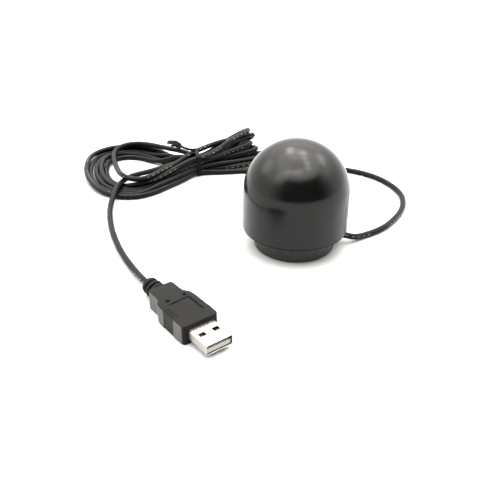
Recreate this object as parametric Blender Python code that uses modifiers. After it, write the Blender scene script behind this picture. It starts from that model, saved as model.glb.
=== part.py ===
"""Dome-shaped GNSS receiver with a moulded cable tied in a hank, and a USB type A plug.

Metres, +Z up. The origin is the centre of the foot's underside, on the surface it stands on,
and the cable leaves the foot towards +X.
"""

import math

import bmesh
import bpy
from mathutils import Matrix, Vector

MM = 0.001
GAP = 0.3 * MM

# Dome: a plain cylinder closed by a hemisphere of the same radius.
DOME_RADIUS = 25.0 * MM
DOME_WALL = 2.0 * MM
DOME_CENTRE = 27.76 * MM
SKIRT_BOTTOM = 9.65 * MM
SKIRT_CHAMFER = 0.4 * MM

# Base: a foot below the skirt and a flange inside it.
PAD_THICKNESS = 1.2 * MM
PAD_RADIUS = 17.3 * MM
FOOT_BOTTOM = 0.5 * MM
FOOT_RADIUS = 19.45 * MM
FOOT_TOP_RADIUS = 19.85 * MM
FOOT_INNER_RADIUS = 17.45 * MM
FLOOR_UNDERSIDE = PAD_THICKNESS + GAP
FLOOR_TOP = 3.0 * MM
FLANGE_RADIUS = 22.6 * MM
FLANGE_BOTTOM = 10.2 * MM
FLANGE_TOP = 13.2 * MM

# Case screws: they clamp the base, the main board and the dome together.
CASE_SCREW_CIRCLE = 15.2 * MM
CASE_SCREW_ANGLES = (60, 180, 300)
PILLAR_RADIUS = 2.6 * MM
SCREW_HOLE_RADIUS = 1.35 * MM
BOSS_TOP = 30.5 * MM

# Boards.
MAIN_BOARD_RADIUS = 19.5 * MM
MAIN_BOARD_BOTTOM = 20.4 * MM
MAIN_BOARD_TOP = 22.0 * MM
ANTENNA_BOARD_RADIUS = 18.2 * MM
ANTENNA_BOARD_BOTTOM = 32.2 * MM
ANTENNA_BOARD_TOP = 33.4 * MM
STANDOFF_PLACES = ((14.5 * MM, 8.0 * MM), (-14.5 * MM, 8.0 * MM), (0.0, -15.0 * MM))
STANDOFF_HOLE_RADIUS = 1.05 * MM
FEED_PLACE = (2.0 * MM, 0.0)
FEED_HOLE_RADIUS = 1.1 * MM
PATCH_SIDE = 25.0 * MM

# Cable.
CABLE_RADIUS = 1.5 * MM
CABLE_EXIT_HEIGHT = 5.0 * MM
GROMMET_FACE = 20.45 * MM
RESTING_HEIGHT = 1.55 * MM
TUBE_SPACING = 7.0 * MM

# Plug: the frame's origin is the middle of the overmould's front face, +X towards the tip.
PLUG_PLACE = (-41.145 * MM, -75.244 * MM, 4.4 * MM)
PLUG_TURN = math.radians(-52.64)
OVERMOULD_HEIGHT = 8.7 * MM
SHELL_WIDTH = 12.0 * MM
SHELL_HEIGHT = 4.5 * MM
SHELL_WALL = 0.3 * MM
SHELL_TIP = 12.17 * MM
SHELL_BACK = -4.9 * MM
RELIEF_END = -39.3 * MM

# Hank: the bundle's waist is where the twist tie holds it.
HANK_BOTTOM = 0.1 * MM
HANK_TOP = 13.1 * MM
TIE_PLACE = (-52.6 * MM, 89.0 * MM)
TIE_TURN = math.radians(14)
TIE_WIDTH = 2.6 * MM
TIE_THICKNESS = 0.6 * MM
WAIST_WIDTH = 13.0 * MM

# The cable's own route, in millimetres, from the foot round to the hank.
LOOP_ROUTE = (
    (20.75, 0.0, 5.0),
    (23.8, 0.05, 4.7),
    (27.2, 0.4, 3.6),
    (30.6, 1.9, 2.5),
    (34.2, 4.3, 1.75),
    (38.2, 6.9, 1.55),
    (42.6, 9.9, 1.55),
    (47.6, 14.4, 1.55),
    (52.4, 20.5, 1.55),
    (57.0, 27.4, 1.55),
    (60.8, 35.2, 1.55),
    (63.5, 43.5, 1.55),
    (64.9, 53.0, 1.55),
    (63.9, 63.0, 1.55),
    (60.5, 73.3, 1.55),
    (56.0, 80.6, 1.55),
    (50.0, 87.3, 1.55),
    (42.0, 92.2, 1.55),
    (32.0, 95.6, 1.55),
    (20.0, 97.6, 1.55),
    (8.0, 98.6, 1.55),
    (-1.9, 99.0, 1.55),
)

# The route from the back of the plug to the hank.
LEAD_ROUTE = (
    (-65.2, -43.8, 4.4),
    (-67.7, -40.3, 4.1),
    (-70.7, -34.8, 3.2),
    (-74.7, -27.2, 2.3),
    (-79.2, -18.4, 1.7),
    (-83.4, -9.5, 1.55),
    (-86.9, -0.7, 1.55),
    (-89.8, 7.5, 1.55),
    (-92.3, 16.1, 1.55),
    (-94.9, 27.4, 1.55),
    (-96.2, 36.5, 2.0),
    (-96.1, 43.0, 3.6),
    (-95.9, 49.8, 4.6),
)

# The tie's twisted ends, from inside the band to their tip.
TAIL_ROUTE = (
    (-53.6, 92.9, 12.8),
    (-53.7, 92.9, 14.2),
    (-56.4, 92.4, 14.7),
    (-60.4, 93.4, 14.6),
    (-63.5, 96.0, 14.5),
    (-66.6, 98.6, 14.5),
    (-70.9, 100.4, 14.5),
)
TAIL_RADIUS = 0.55 * MM

# Outline of the hank seen from above, in millimetres: a wide lobe, the waist, then the folds.
HANK_OUTLINE = (
    (-122.0, 99.0),
    (-120.0, 82.0),
    (-112.0, 65.0),
    (-100.0, 53.0),
    (-87.0, 49.0),
    (-76.0, 54.0),
    (-65.5, 65.5),
    (-58.2, 75.5),
    (-54.2, 81.0),
    (-47.4, 82.7),
    (-34.6, 84.0),
    (-20.0, 85.0),
    (-8.0, 88.5),
    (-2.6, 95.0),
    (-2.6, 106.0),
    (-10.0, 117.0),
    (-21.0, 122.5),
    (-31.0, 117.5),
    (-42.0, 106.5),
    (-51.0, 97.0),
    (-57.8, 95.3),
    (-63.5, 99.0),
    (-71.0, 107.5),
    (-81.0, 117.0),
    (-92.0, 122.5),
    (-104.0, 123.5),
    (-114.0, 118.5),
    (-120.5, 110.0),
)
HANK_EYE = (
    (-100.5, 97.0),
    (-98.5, 87.0),
    (-94.5, 79.5),
    (-87.5, 77.0),
    (-79.5, 82.5),
    (-73.0, 90.5),
    (-80.5, 99.0),
    (-89.0, 104.5),
    (-97.0, 104.0),
)


def clear_scene():
    for old in list(bpy.data.objects):
        bpy.data.objects.remove(old, do_unlink=True)


def new_collection(name):
    collection = bpy.data.collections.new(name)
    bpy.context.scene.collection.children.link(collection)
    return collection


clear_scene()
PARTS = new_collection("gnss_receiver")
CUTTERS = new_collection("cutters")


# ---------------------------------------------------------------- building tools


def material(name, colour, roughness, metallic=0.0):
    made = bpy.data.materials.new(name)
    made.use_nodes = True
    shader = made.node_tree.nodes["Principled BSDF"]
    shader.inputs["Base Color"].default_value = (*colour, 1.0)
    shader.inputs["Roughness"].default_value = roughness
    shader.inputs["Metallic"].default_value = metallic
    return made


def add(name, data, finish=None, place=None, parent=None):
    """Put an object in the scene: a part if it has a finish, otherwise a cutter."""
    made = bpy.data.objects.new(name, data)
    if finish is None:
        CUTTERS.objects.link(made)
        made.hide_render = True
        made.display_type = "WIRE"
    else:
        PARTS.objects.link(made)
        data.materials.append(finish)
    if parent is not None:
        made.parent = parent
    if place is not None:
        made.matrix_local = place
    return made


def add_shape(name, shape, finish=None, place=None, parent=None):
    """Turn a bmesh into an object, shaded smooth where its faces nearly meet."""
    bmesh.ops.recalc_face_normals(shape, faces=shape.faces)
    mesh = bpy.data.meshes.new(name)
    shape.to_mesh(mesh)
    shape.free()
    mesh.shade_smooth()
    mesh.set_sharp_from_angle(angle=math.radians(35))
    return add(name, mesh, finish, place, parent)


def put_box(shape, low, high):
    """Add a box between two corners."""
    low = Vector(low)
    high = Vector(high)
    size = Matrix.Diagonal((*(high - low), 1.0))
    bmesh.ops.create_cube(shape, size=1.0, matrix=Matrix.Translation((low + high) / 2) @ size)


def put_rod(shape, radius, bottom, top, centre=(0.0, 0.0), sides=16):
    """Add an upright cylinder."""
    place = Matrix.Translation((centre[0], centre[1], (bottom + top) / 2))
    bmesh.ops.create_cone(
        shape,
        cap_ends=True,
        segments=sides,
        radius1=radius,
        radius2=radius,
        depth=top - bottom,
        matrix=place,
    )


def boxes(name, corners, finish=None, place=None, parent=None):
    shape = bmesh.new()
    for low, high in corners:
        put_box(shape, low, high)
    return add_shape(name, shape, finish, place, parent)


def rods(name, radius, bottom, top, centres=((0.0, 0.0),), finish=None, sides=16):
    shape = bmesh.new()
    for centre in centres:
        put_rod(shape, radius, bottom, top, centre, sides)
    return add_shape(name, shape, finish)


def turned(name, profile, finish=None, steps=48, ring=False, place=None, parent=None):
    """Turn a profile of (radius, height) points, running down its outer side, about Z."""
    mesh = bpy.data.meshes.new(name)
    count = len(profile)
    edges = [(index, index + 1) for index in range(count - 1)]
    if ring:
        edges.append((count - 1, 0))
    mesh.from_pydata([(radius, 0.0, height) for radius, height in profile], edges, [])
    made = add(name, mesh, finish, place, parent)
    screw = made.modifiers.new("turn", "SCREW")
    screw.axis = "Z"
    screw.steps = steps
    screw.render_steps = steps
    screw.use_merge_vertices = True
    screw.merge_threshold = 0.01 * MM
    screw.use_smooth_shade = True
    return made


def as_mesh(made):
    """Swap a curve or modified object for its plain mesh, with loose caps welded."""
    bpy.context.view_layer.update()
    graph = bpy.context.evaluated_depsgraph_get()
    mesh = bpy.data.meshes.new_from_object(made.evaluated_get(graph))
    shape = bmesh.new()
    shape.from_mesh(mesh)
    bmesh.ops.remove_doubles(shape, verts=shape.verts, dist=0.001 * MM)
    shape.to_mesh(mesh)
    shape.free()
    name = made.name
    plain = bpy.data.objects.new(name + "_mesh", mesh)
    for collection in made.users_collection:
        collection.objects.link(plain)
    plain.hide_render = made.hide_render
    plain.display_type = made.display_type
    plain.matrix_world = made.matrix_world
    bpy.data.objects.remove(made, do_unlink=True)
    plain.name = name
    return plain


def turned_copies(name, profile, finish, steps, places, ring=False):
    """The same turned piece at several (x, y) places, each its own numbered object."""
    for number, (x, y) in enumerate(places, start=1):
        place = Matrix.Translation((x, y, 0.0))
        turned(f"{name}_{number}", profile, finish, steps, ring, place)


def combine(target, tool, operation):
    change = target.modifiers.new(tool.name, "BOOLEAN")
    change.operation = operation
    change.object = tool


def smooth_path(points, spacing, closed=False):
    """Points about one spacing apart on a Catmull-Rom curve through the given points."""
    route = [Vector(point) for point in points]
    count = len(route)
    spans = count if closed else count - 1
    dense = []
    for span in range(spans):
        if closed:
            before, start, end, after = (route[(span + step) % count] for step in (-1, 0, 1, 2))
        else:
            start, end = route[span], route[span + 1]
            before = route[span - 1] if span else start * 2 - end
            after = route[span + 2] if span + 2 < count else end * 2 - start
        for step in range(12):
            part = step / 12
            dense.append(
                0.5
                * (
                    start * 2
                    + (end - before) * part
                    + (before * 2 - start * 5 + end * 4 - after) * part**2
                    + (start * 3 - before - end * 3 + after) * part**3
                )
            )
    dense.append(route[0] if closed else route[-1])
    reached = [0.0]
    for previous, point in zip(dense, dense[1:]):
        reached.append(reached[-1] + (point - previous).length)
    pieces = max(2, round(reached[-1] / spacing))
    path = []
    index = 0
    for piece in range(pieces if closed else pieces + 1):
        wanted = reached[-1] * piece / pieces
        while index < len(dense) - 2 and reached[index + 1] < wanted:
            index += 1
        length = reached[index + 1] - reached[index]
        path.append(dense[index].lerp(dense[index + 1], (wanted - reached[index]) / length))
    return path


def in_metres(points):
    return [Vector(point) * MM for point in points]


def tube(name, points, radius, finish):
    """A round wire through a list of points, with closed ends."""
    curve = bpy.data.curves.new(name, "CURVE")
    curve.dimensions = "3D"
    curve.bevel_depth = radius
    curve.bevel_resolution = 2
    curve.use_fill_caps = True
    spline = curve.splines.new("POLY")
    spline.points.add(len(points) - 1)
    for point, position in zip(spline.points, points):
        point.co = (*position, 1.0)
    return add(name, curve, finish)


def plate(name, outlines, bottom, top, finish=None, place=None, parent=None):
    """A flat solid between two heights. Outlines after the first are holes, or separate plates."""
    curve = bpy.data.curves.new(name, "CURVE")
    curve.dimensions = "2D"
    curve.fill_mode = "BOTH"
    curve.extrude = (top - bottom) / 2
    for outline in outlines:
        spline = curve.splines.new("POLY")
        spline.points.add(len(outline) - 1)
        for point, position in zip(spline.points, outline):
            point.co = (position[0], position[1], 0.0, 1.0)
        spline.use_cyclic_u = True
    lift = Matrix.Translation((0.0, 0.0, (top + bottom) / 2))
    whole = lift if place is None else place @ lift
    return add(name, curve, finish, whole, parent)


def circle(radius, sides, centre=(0.0, 0.0), first=0.0, sweep=360.0):
    """Points round a circle, or round part of one when the sweep is less than a turn."""
    whole = sweep == 360.0
    count = sides if whole else sides + 1
    angles = [math.radians(first + sweep * index / sides) for index in range(count)]
    return [(centre[0] + radius * math.cos(a), centre[1] + radius * math.sin(a)) for a in angles]


def rounded_rectangle(width, height, corner, sides=3, middle=0.0):
    """Outline of a rectangle with round corners, its centre raised to the given middle."""
    across = width / 2 - corner
    up = height / 2 - corner
    outline = []
    for first, x, y in ((0, across, up), (90, -across, up), (180, -across, -up), (270, across, -up)):
        outline += circle(corner, sides, (x, y + middle), first, 90.0)
    return outline


def on_circle(radius, angles):
    return [(radius * math.cos(math.radians(a)), radius * math.sin(math.radians(a))) for a in angles]


# ---------------------------------------------------------------- finishes

BLACK_PLASTIC = material("black_plastic", (0.018, 0.018, 0.017), 0.38)
BASE_PLASTIC = material("base_plastic", (0.020, 0.020, 0.020), 0.48)
PAD_RUBBER = material("pad_rubber", (0.015, 0.015, 0.015), 0.85)
SEAL_RUBBER = material("seal_rubber", (0.030, 0.012, 0.010), 0.70)
CABLE_JACKET = material("cable_jacket", (0.050, 0.050, 0.050), 0.50)
MOULDED_VINYL = material("moulded_vinyl", (0.070, 0.070, 0.068), 0.48)
TIE_VINYL = material("tie_vinyl", (0.020, 0.020, 0.020), 0.45)
TIE_NYLON = material("tie_nylon", (0.75, 0.75, 0.72), 0.45)
BOARD_LAMINATE = material("board_laminate", (0.015, 0.120, 0.045), 0.40)
CONNECTOR_NYLON = material("connector_nylon", (0.80, 0.78, 0.70), 0.50)
CHIP_EPOXY = material("chip_epoxy", (0.025, 0.025, 0.027), 0.55)
CAPACITOR_CERAMIC = material("capacitor_ceramic", (0.45, 0.33, 0.20), 0.50)
ANTENNA_CERAMIC = material("antenna_ceramic", (0.62, 0.57, 0.48), 0.60)
ADHESIVE_FOAM = material("adhesive_foam", (0.85, 0.85, 0.80), 0.80)
PLUG_INSULATOR = material("plug_insulator", (0.85, 0.85, 0.82), 0.45)
NICKEL_STEEL = material("nickel_steel", (0.80, 0.79, 0.76), 0.22, 1.0)
TINNED_STEEL = material("tinned_steel", (0.66, 0.66, 0.64), 0.35, 1.0)
ZINC_STEEL = material("zinc_steel", (0.55, 0.56, 0.58), 0.35, 1.0)
MAGNET_FERRITE = material("magnet_ferrite", (0.050, 0.048, 0.046), 0.55)
ANTENNA_SILVER = material("antenna_silver", (0.85, 0.84, 0.80), 0.40, 1.0)
BRASS = material("brass", (0.78, 0.57, 0.25), 0.30, 1.0)
GOLD_PLATE = material("gold_plate", (0.90, 0.66, 0.28), 0.25, 1.0)
WIRE_COLOURS = {
    "red": (0.55, 0.02, 0.02),
    "white": (0.80, 0.80, 0.78),
    "green": (0.02, 0.28, 0.06),
    "black": (0.02, 0.02, 0.02),
}


# ---------------------------------------------------------------- case


def dome_arc(radius, pieces, rising):
    """Quarter circle from the apex down to the dome's centre height, or back up."""
    arc = [(0.0, DOME_CENTRE + radius)]
    for index in range(1, pieces + 1):
        angle = math.pi / 2 * index / pieces
        arc.append((radius * math.sin(angle), DOME_CENTRE + radius * math.cos(angle)))
    return arc[::-1] if rising else arc


def make_dome_cover():
    """The dome with three screw bosses on ribs, hollow and open below."""
    inner = DOME_RADIUS - DOME_WALL
    profile = dome_arc(DOME_RADIUS, 11, rising=False)
    profile += [
        (DOME_RADIUS, SKIRT_BOTTOM + SKIRT_CHAMFER),
        (DOME_RADIUS - SKIRT_CHAMFER, SKIRT_BOTTOM),
        (inner + SKIRT_CHAMFER, SKIRT_BOTTOM),
        (inner, SKIRT_BOTTOM + SKIRT_CHAMFER),
    ]
    profile += dome_arc(inner, 8, rising=True)
    dome = turned("dome_cover", profile, BLACK_PLASTIC, steps=60)

    rib_half = 0.9 * MM
    rib_end = DOME_RADIUS - DOME_WALL / 2
    opening = math.degrees(math.asin(rib_half / PILLAR_RADIUS))
    outlines = []
    for angle in CASE_SCREW_ANGLES:
        key = circle(PILLAR_RADIUS, 12, (CASE_SCREW_CIRCLE, 0.0), opening, 360.0 - 2 * opening)
        key += [(rib_end, -rib_half), (rib_end, rib_half)]
        turn = Matrix.Rotation(math.radians(angle), 2)
        outlines.append([turn @ Vector(point) for point in key])
    bosses = as_mesh(plate("dome_bosses", outlines, MAIN_BOARD_TOP + GAP, BOSS_TOP))
    combine(dome, bosses, "UNION")
    hole_top = BOSS_TOP - 1.5 * MM
    centres = on_circle(CASE_SCREW_CIRCLE, CASE_SCREW_ANGLES)
    holes = rods("boss_holes", SCREW_HOLE_RADIUS, MAIN_BOARD_BOTTOM, hole_top, centres, sides=12)
    combine(dome, holes, "DIFFERENCE")


def make_base_housing():
    """Foot, flange with a seal groove, magnet collar and three screw pillars."""
    collar_inner = 9.9 * MM
    collar_outer = 11.0 * MM
    collar_top = 7.0 * MM
    groove_radius = 21.3 * MM
    groove_low = FLANGE_BOTTOM + 0.5 * MM
    groove_high = FLANGE_TOP - 0.9 * MM
    foot_round = 0.55 * MM
    recess_radius = PAD_RADIUS + GAP
    base = turned(
        "base_housing",
        [
            (0.0, FLOOR_TOP),
            (collar_inner, FLOOR_TOP),
            (collar_inner, collar_top),
            (collar_outer, collar_top),
            (collar_outer, FLOOR_TOP),
            (FOOT_INNER_RADIUS, FLOOR_TOP),
            (FOOT_INNER_RADIUS, FLANGE_TOP),
            (FLANGE_RADIUS, FLANGE_TOP),
            (FLANGE_RADIUS, groove_high),
            (groove_radius, groove_high),
            (groove_radius, groove_low),
            (FLANGE_RADIUS, groove_low),
            (FLANGE_RADIUS, FLANGE_BOTTOM),
            (FOOT_TOP_RADIUS, FLANGE_BOTTOM),
            (FOOT_RADIUS, FOOT_BOTTOM + foot_round),
            (FOOT_RADIUS - foot_round, FOOT_BOTTOM),
            (recess_radius, FOOT_BOTTOM),
            (recess_radius, FLOOR_UNDERSIDE),
            (0.0, FLOOR_UNDERSIDE),
        ],
        BASE_PLASTIC,
        steps=48,
    )
    centres = on_circle(CASE_SCREW_CIRCLE, CASE_SCREW_ANGLES)
    pillar_bottom = (FLOOR_TOP + FLOOR_UNDERSIDE) / 2
    pillar_top = MAIN_BOARD_BOTTOM - GAP
    combine(base, rods("pillars", PILLAR_RADIUS, pillar_bottom, pillar_top, centres), "UNION")
    head_recess = rods("head_recesses", 2.2 * MM, FOOT_BOTTOM, 4.5 * MM, centres)
    combine(base, head_recess, "DIFFERENCE")
    shank_holes = rods("shank_holes", SCREW_HOLE_RADIUS, 4.0 * MM, 21.0 * MM, centres, sides=12)
    combine(base, shank_holes, "DIFFERENCE")
    cable_hole = rods("cable_hole", 2.6 * MM, 16.5 * MM, 21.0 * MM, sides=20)
    cable_hole.matrix_world = along_cable_exit()
    combine(base, cable_hole, "DIFFERENCE")

    turned("rubber_foot_pad", [(0.0, PAD_THICKNESS), (PAD_RADIUS, PAD_THICKNESS),
                               (PAD_RADIUS, 0.2 * MM), (PAD_RADIUS - 0.2 * MM, 0.0),
                               (0.0, 0.0)], PAD_RUBBER, steps=40)

    seal_radius = 22.1 * MM
    seal_middle = (groove_low + groove_high) / 2
    section = circle(0.5 * MM, 6, (seal_radius, seal_middle), 0.0)
    turned("sealing_ring", section[::-1], SEAL_RUBBER, steps=36, ring=True)


def make_magnet():
    magnet_bottom = FLOOR_TOP + GAP
    magnet_top = 7.3 * MM
    rods("mounting_magnet", 9.6 * MM, magnet_bottom, magnet_top, finish=MAGNET_FERRITE, sides=32)
    plate_bottom = magnet_top + GAP
    plate_top = plate_bottom + 0.8 * MM
    rods("magnet_keeper_plate", 10.8 * MM, plate_bottom, plate_top, finish=ZINC_STEEL, sides=32)


def make_case_screws():
    head_bottom = 2.3 * MM
    head_top = 4.2 * MM
    head_radius = 1.8 * MM
    shank_radius = 0.95 * MM
    tip = 27.8 * MM
    profile = [(0.0, tip), (0.5 * MM, tip), (shank_radius, tip - 1.5 * MM), (shank_radius, head_top),
               (head_radius, head_top), (head_radius, head_bottom), (0.0, head_bottom)]
    centres = on_circle(CASE_SCREW_CIRCLE, CASE_SCREW_ANGLES)
    turned_copies("case_screw", profile, ZINC_STEEL, 12, centres)


# ---------------------------------------------------------------- cable entry and wiring


def along_cable_exit():
    """Frame of the cable exit: its Z points outwards along +X at the exit's height."""
    lift = Matrix.Translation((0.0, 0.0, CABLE_EXIT_HEIGHT))
    return lift @ Matrix.Rotation(math.radians(90), 4, "Y")


def make_cable_entry():
    bore = CABLE_RADIUS + GAP
    body = 2.3 * MM
    lip = 2.9 * MM
    lip_start = GROMMET_FACE - 0.5 * MM
    inner_face = 16.9 * MM
    turned(
        "cable_grommet",
        [
            (lip, GROMMET_FACE),
            (lip, lip_start),
            (body, lip_start),
            (body, inner_face),
            (bore, inner_face),
            (bore, GROMMET_FACE),
        ],
        CABLE_JACKET,
        steps=16,
        ring=True,
        place=along_cable_exit(),
    )
    route = ((20.45, 0, 5.0), (18.5, 0, 5.0), (16.6, 0, 5.15), (14.9, 0, 6.2), (13.9, 0, 8.0),
             (13.6, 0, 10.0), (13.6, 0, 12.6))
    tube("cable_inner_end", smooth_path(in_metres(route), 1.3 * MM), CABLE_RADIUS, CABLE_JACKET)


def make_strain_tie():
    """Nylon tie round the cable inside the foot, which keeps it from being pulled out."""
    centre_x = 13.6 * MM
    low = 10.0 * MM
    high = 12.2 * MM
    inner = CABLE_RADIUS + GAP
    outer = inner + 0.7 * MM
    place = Matrix.Translation((centre_x, 0.0, 0.0))
    band = turned("strain_tie", [(outer, high), (outer, low), (inner, low), (inner, high)],
                  TIE_NYLON, steps=20, ring=True, place=place)
    head = boxes("strain_tie_head", [((centre_x - 1.3 * MM, 2.2 * MM, low + 0.1 * MM),
                                      (centre_x + 1.3 * MM, 4.4 * MM, high - 0.1 * MM))])
    combine(band, head, "UNION")


def make_wiring():
    """Wires from the jacket's end to a plug housing and its header under the main board."""
    pitch = 1.25 * MM
    wire_radius = 0.42 * MM
    spread = 0.62
    row_height = 18.55
    board_gap = MAIN_BOARD_BOTTOM - GAP
    corners = ((-spread, -spread), (spread, -spread), (spread, spread), (-spread, spread))
    for slot, (colour, (dx, dy)) in enumerate(zip(WIRE_COLOURS, corners)):
        across = (slot - 1.5) * pitch / MM
        route = (
            (13.6 + dx, dy, 12.9),
            (13.9 + 0.8 * dx, (dy + across) / 2, 14.6),
            (14.8, across, 16.6),
            (14.5, across, 17.9),
            (13.5, across, row_height),
            (12.3, across, row_height),
        )
        finish = material("wire_" + colour, WIRE_COLOURS[colour], 0.45)
        tube("wire_" + colour, smooth_path(in_metres(route), 0.9 * MM), wire_radius, finish)
    boxes("wire_plug_housing", [((8.3 * MM, -3.1 * MM, 17.2 * MM), (12.0 * MM, 3.1 * MM, 19.8 * MM))],
          CONNECTOR_NYLON)
    boxes("wire_header", [((4.2 * MM, -3.8 * MM, 17.0 * MM), (8.0 * MM, 3.8 * MM, board_gap))],
          CONNECTOR_NYLON)


# ---------------------------------------------------------------- boards


def make_main_board():
    outlines = [circle(MAIN_BOARD_RADIUS, 40)]
    outlines += [circle(SCREW_HOLE_RADIUS, 12, centre)
                 for centre in on_circle(CASE_SCREW_CIRCLE, CASE_SCREW_ANGLES)]
    outlines += [circle(STANDOFF_HOLE_RADIUS, 10, centre) for centre in STANDOFF_PLACES]
    plate("main_board", outlines, MAIN_BOARD_BOTTOM, MAIN_BOARD_TOP, BOARD_LAMINATE)


def on_main_board(name, centre, size, finish, lift=0.0):
    """A box-shaped component standing on the main board. Sizes in millimetres."""
    low = MAIN_BOARD_TOP + GAP + lift
    half_x = size[0] * MM / 2
    half_y = size[1] * MM / 2
    x = centre[0] * MM
    y = centre[1] * MM
    corners = [((x - half_x, y - half_y, low), (x + half_x, y + half_y, low + size[2] * MM))]
    return boxes(name, corners, finish)


def make_board_components():
    on_main_board("gnss_module_board", (-2.0, 1.0), (12.2, 16.0, 0.8), BOARD_LAMINATE)
    can = on_main_board("gnss_module_can", (-2.0, 1.0), (10.4, 14.0, 1.6), TINNED_STEEL, 1.1 * MM)
    soften(can, 0.3 * MM)
    on_main_board("usb_bridge_chip", (9.5, -4.0), (5.0, 5.0, 0.9), CHIP_EPOXY)
    on_main_board("voltage_regulator", (9.5, 3.5), (3.0, 1.6, 1.1), CHIP_EPOXY)
    crystal = on_main_board("crystal_oscillator", (14.6, -3.5), (3.2, 2.5, 0.8), TINNED_STEEL)
    soften(crystal, 0.2 * MM)
    cell_bottom = MAIN_BOARD_TOP + GAP
    rods("backup_cell", 3.4 * MM, cell_bottom, cell_bottom + 2.1 * MM, ((-9.5 * MM, -11.5 * MM),),
         NICKEL_STEEL, sides=24)
    for number, x in enumerate((-6.0, -3.5, -1.0), start=1):
        on_main_board(f"filter_capacitor_{number}", (x, 12.8), (0.8, 1.6, 0.8), CAPACITOR_CERAMIC)


def soften(made, width):
    """Round a part's edges."""
    bevel = made.modifiers.new("soften", "BEVEL")
    bevel.width = width
    bevel.segments = 2
    bevel.limit_method = "ANGLE"
    bevel.angle_limit = math.radians(35)


def make_standoffs():
    low = MAIN_BOARD_TOP + GAP
    high = ANTENNA_BOARD_BOTTOM - GAP
    outer = 2.2 * MM
    inner = 1.2 * MM
    ring = [(outer, high), (outer, low), (inner, low), (inner, high)]
    turned_copies("antenna_standoff", ring, BRASS, 6, STANDOFF_PLACES, ring=True)

    head = 1.6 * MM
    shank = 0.75 * MM
    head_height = 1.0 * MM
    reach = 5.0 * MM
    under = MAIN_BOARD_BOTTOM - GAP
    lower = [(0.0, under + reach), (shank, under + reach), (shank, under), (head, under),
             (head, under - head_height), (0.0, under - head_height)]
    turned_copies("lower_standoff_screw", lower, ZINC_STEEL, 10, STANDOFF_PLACES)
    over = ANTENNA_BOARD_TOP + GAP
    upper = [(0.0, over + head_height), (head, over + head_height), (head, over), (shank, over),
             (shank, over - reach), (0.0, over - reach)]
    turned_copies("upper_standoff_screw", upper, ZINC_STEEL, 10, STANDOFF_PLACES)


def make_antenna():
    """Antenna board, adhesive, ceramic patch, its silver face, feed pin and amplifier can."""
    feed_hole = circle(FEED_HOLE_RADIUS, 12, FEED_PLACE)
    outlines = [circle(ANTENNA_BOARD_RADIUS, 40), feed_hole]
    outlines += [circle(STANDOFF_HOLE_RADIUS, 10, centre) for centre in STANDOFF_PLACES]
    plate("antenna_board", outlines, ANTENNA_BOARD_BOTTOM, ANTENNA_BOARD_TOP, BOARD_LAMINATE)

    pad_low = ANTENNA_BOARD_TOP + GAP
    pad_high = pad_low + 0.5 * MM
    pad_side = PATCH_SIDE - 1.0 * MM
    pad = rounded_rectangle(pad_side, pad_side, 1.0 * MM, 1)
    plate("antenna_adhesive_pad", [pad, feed_hole], pad_low, pad_high, ADHESIVE_FOAM)

    ceramic_low = pad_high + GAP
    ceramic_high = ceramic_low + 4.0 * MM
    ceramic = rounded_rectangle(PATCH_SIDE, PATCH_SIDE, 0.4 * MM, 1)
    plate("patch_antenna_ceramic", [ceramic, feed_hole], ceramic_low, ceramic_high, ANTENNA_CERAMIC)

    silver_low = ceramic_high + GAP
    silver_high = silver_low + 0.25 * MM
    silver_side = 20.0 * MM
    trimmed = rounded_rectangle(silver_side, silver_side, 1.5 * MM, 1)
    plate("antenna_silver_patch", [trimmed, feed_hole], silver_low, silver_high, ANTENNA_SILVER)

    head_low = silver_high + GAP
    head = 1.0 * MM
    shank = 0.7 * MM
    pin_end = ANTENNA_BOARD_BOTTOM - 1.0 * MM
    profile = [(0.0, head_low + 0.4 * MM), (head, head_low + 0.4 * MM), (head, head_low),
               (shank, head_low), (shank, pin_end), (0.0, pin_end)]
    turned("antenna_feed_pin", profile, GOLD_PLATE, steps=12,
           place=Matrix.Translation((*FEED_PLACE, 0.0)))

    can_top = ANTENNA_BOARD_BOTTOM - GAP
    can = boxes("amplifier_can", [((-4.0 * MM, 2.2 * MM, can_top - 2.0 * MM),
                                   (5.0 * MM, 11.2 * MM, can_top))], TINNED_STEEL)
    soften(can, 0.3 * MM)


def make_coax():
    """Thin coaxial lead from the main board up to the antenna board, with its sockets and plugs."""
    y = -10.5 * MM
    lower_x = 1.5 * MM
    upper_x = -6.0 * MM
    half = 1.5 * MM
    height = 1.0 * MM
    low = MAIN_BOARD_TOP + GAP
    high = ANTENNA_BOARD_BOTTOM - GAP
    boxes("coax_socket_lower", [((lower_x - half, y - half, low),
                                 (lower_x + half, y + half, low + height))], BRASS)
    boxes("coax_socket_upper", [((upper_x - half, y - half, high - height),
                                 (upper_x + half, y + half, high))], BRASS)
    plug_radius = 1.4 * MM
    plug_height = 1.3 * MM
    lower_plug = low + height + GAP
    upper_plug = high - height - GAP
    rods("coax_plug_lower", plug_radius, lower_plug, lower_plug + plug_height, ((lower_x, y),),
         GOLD_PLATE)
    rods("coax_plug_upper", plug_radius, upper_plug - plug_height, upper_plug, ((upper_x, y),),
         GOLD_PLATE)
    route = ((3.2, -10.5, 24.25), (5.4, -10.0, 24.5), (7.4, -8.6, 25.7), (7.2, -8.2, 27.4),
             (4.8, -8.9, 28.7), (0.5, -9.9, 29.4), (-2.4, -10.4, 29.9), (-4.3, -10.5, 29.95))
    tube("antenna_coax", smooth_path(in_metres(route), 1.6 * MM), 0.5 * MM, CABLE_JACKET)


# ---------------------------------------------------------------- plug


def along_plug():
    """Maps a flat outline's X, Y and thickness to the plug's width, height and length."""
    return Matrix(((0, 0, 1, 0), (1, 0, 0, 0), (0, 1, 0, 0), (0, 0, 0, 1)))


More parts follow.
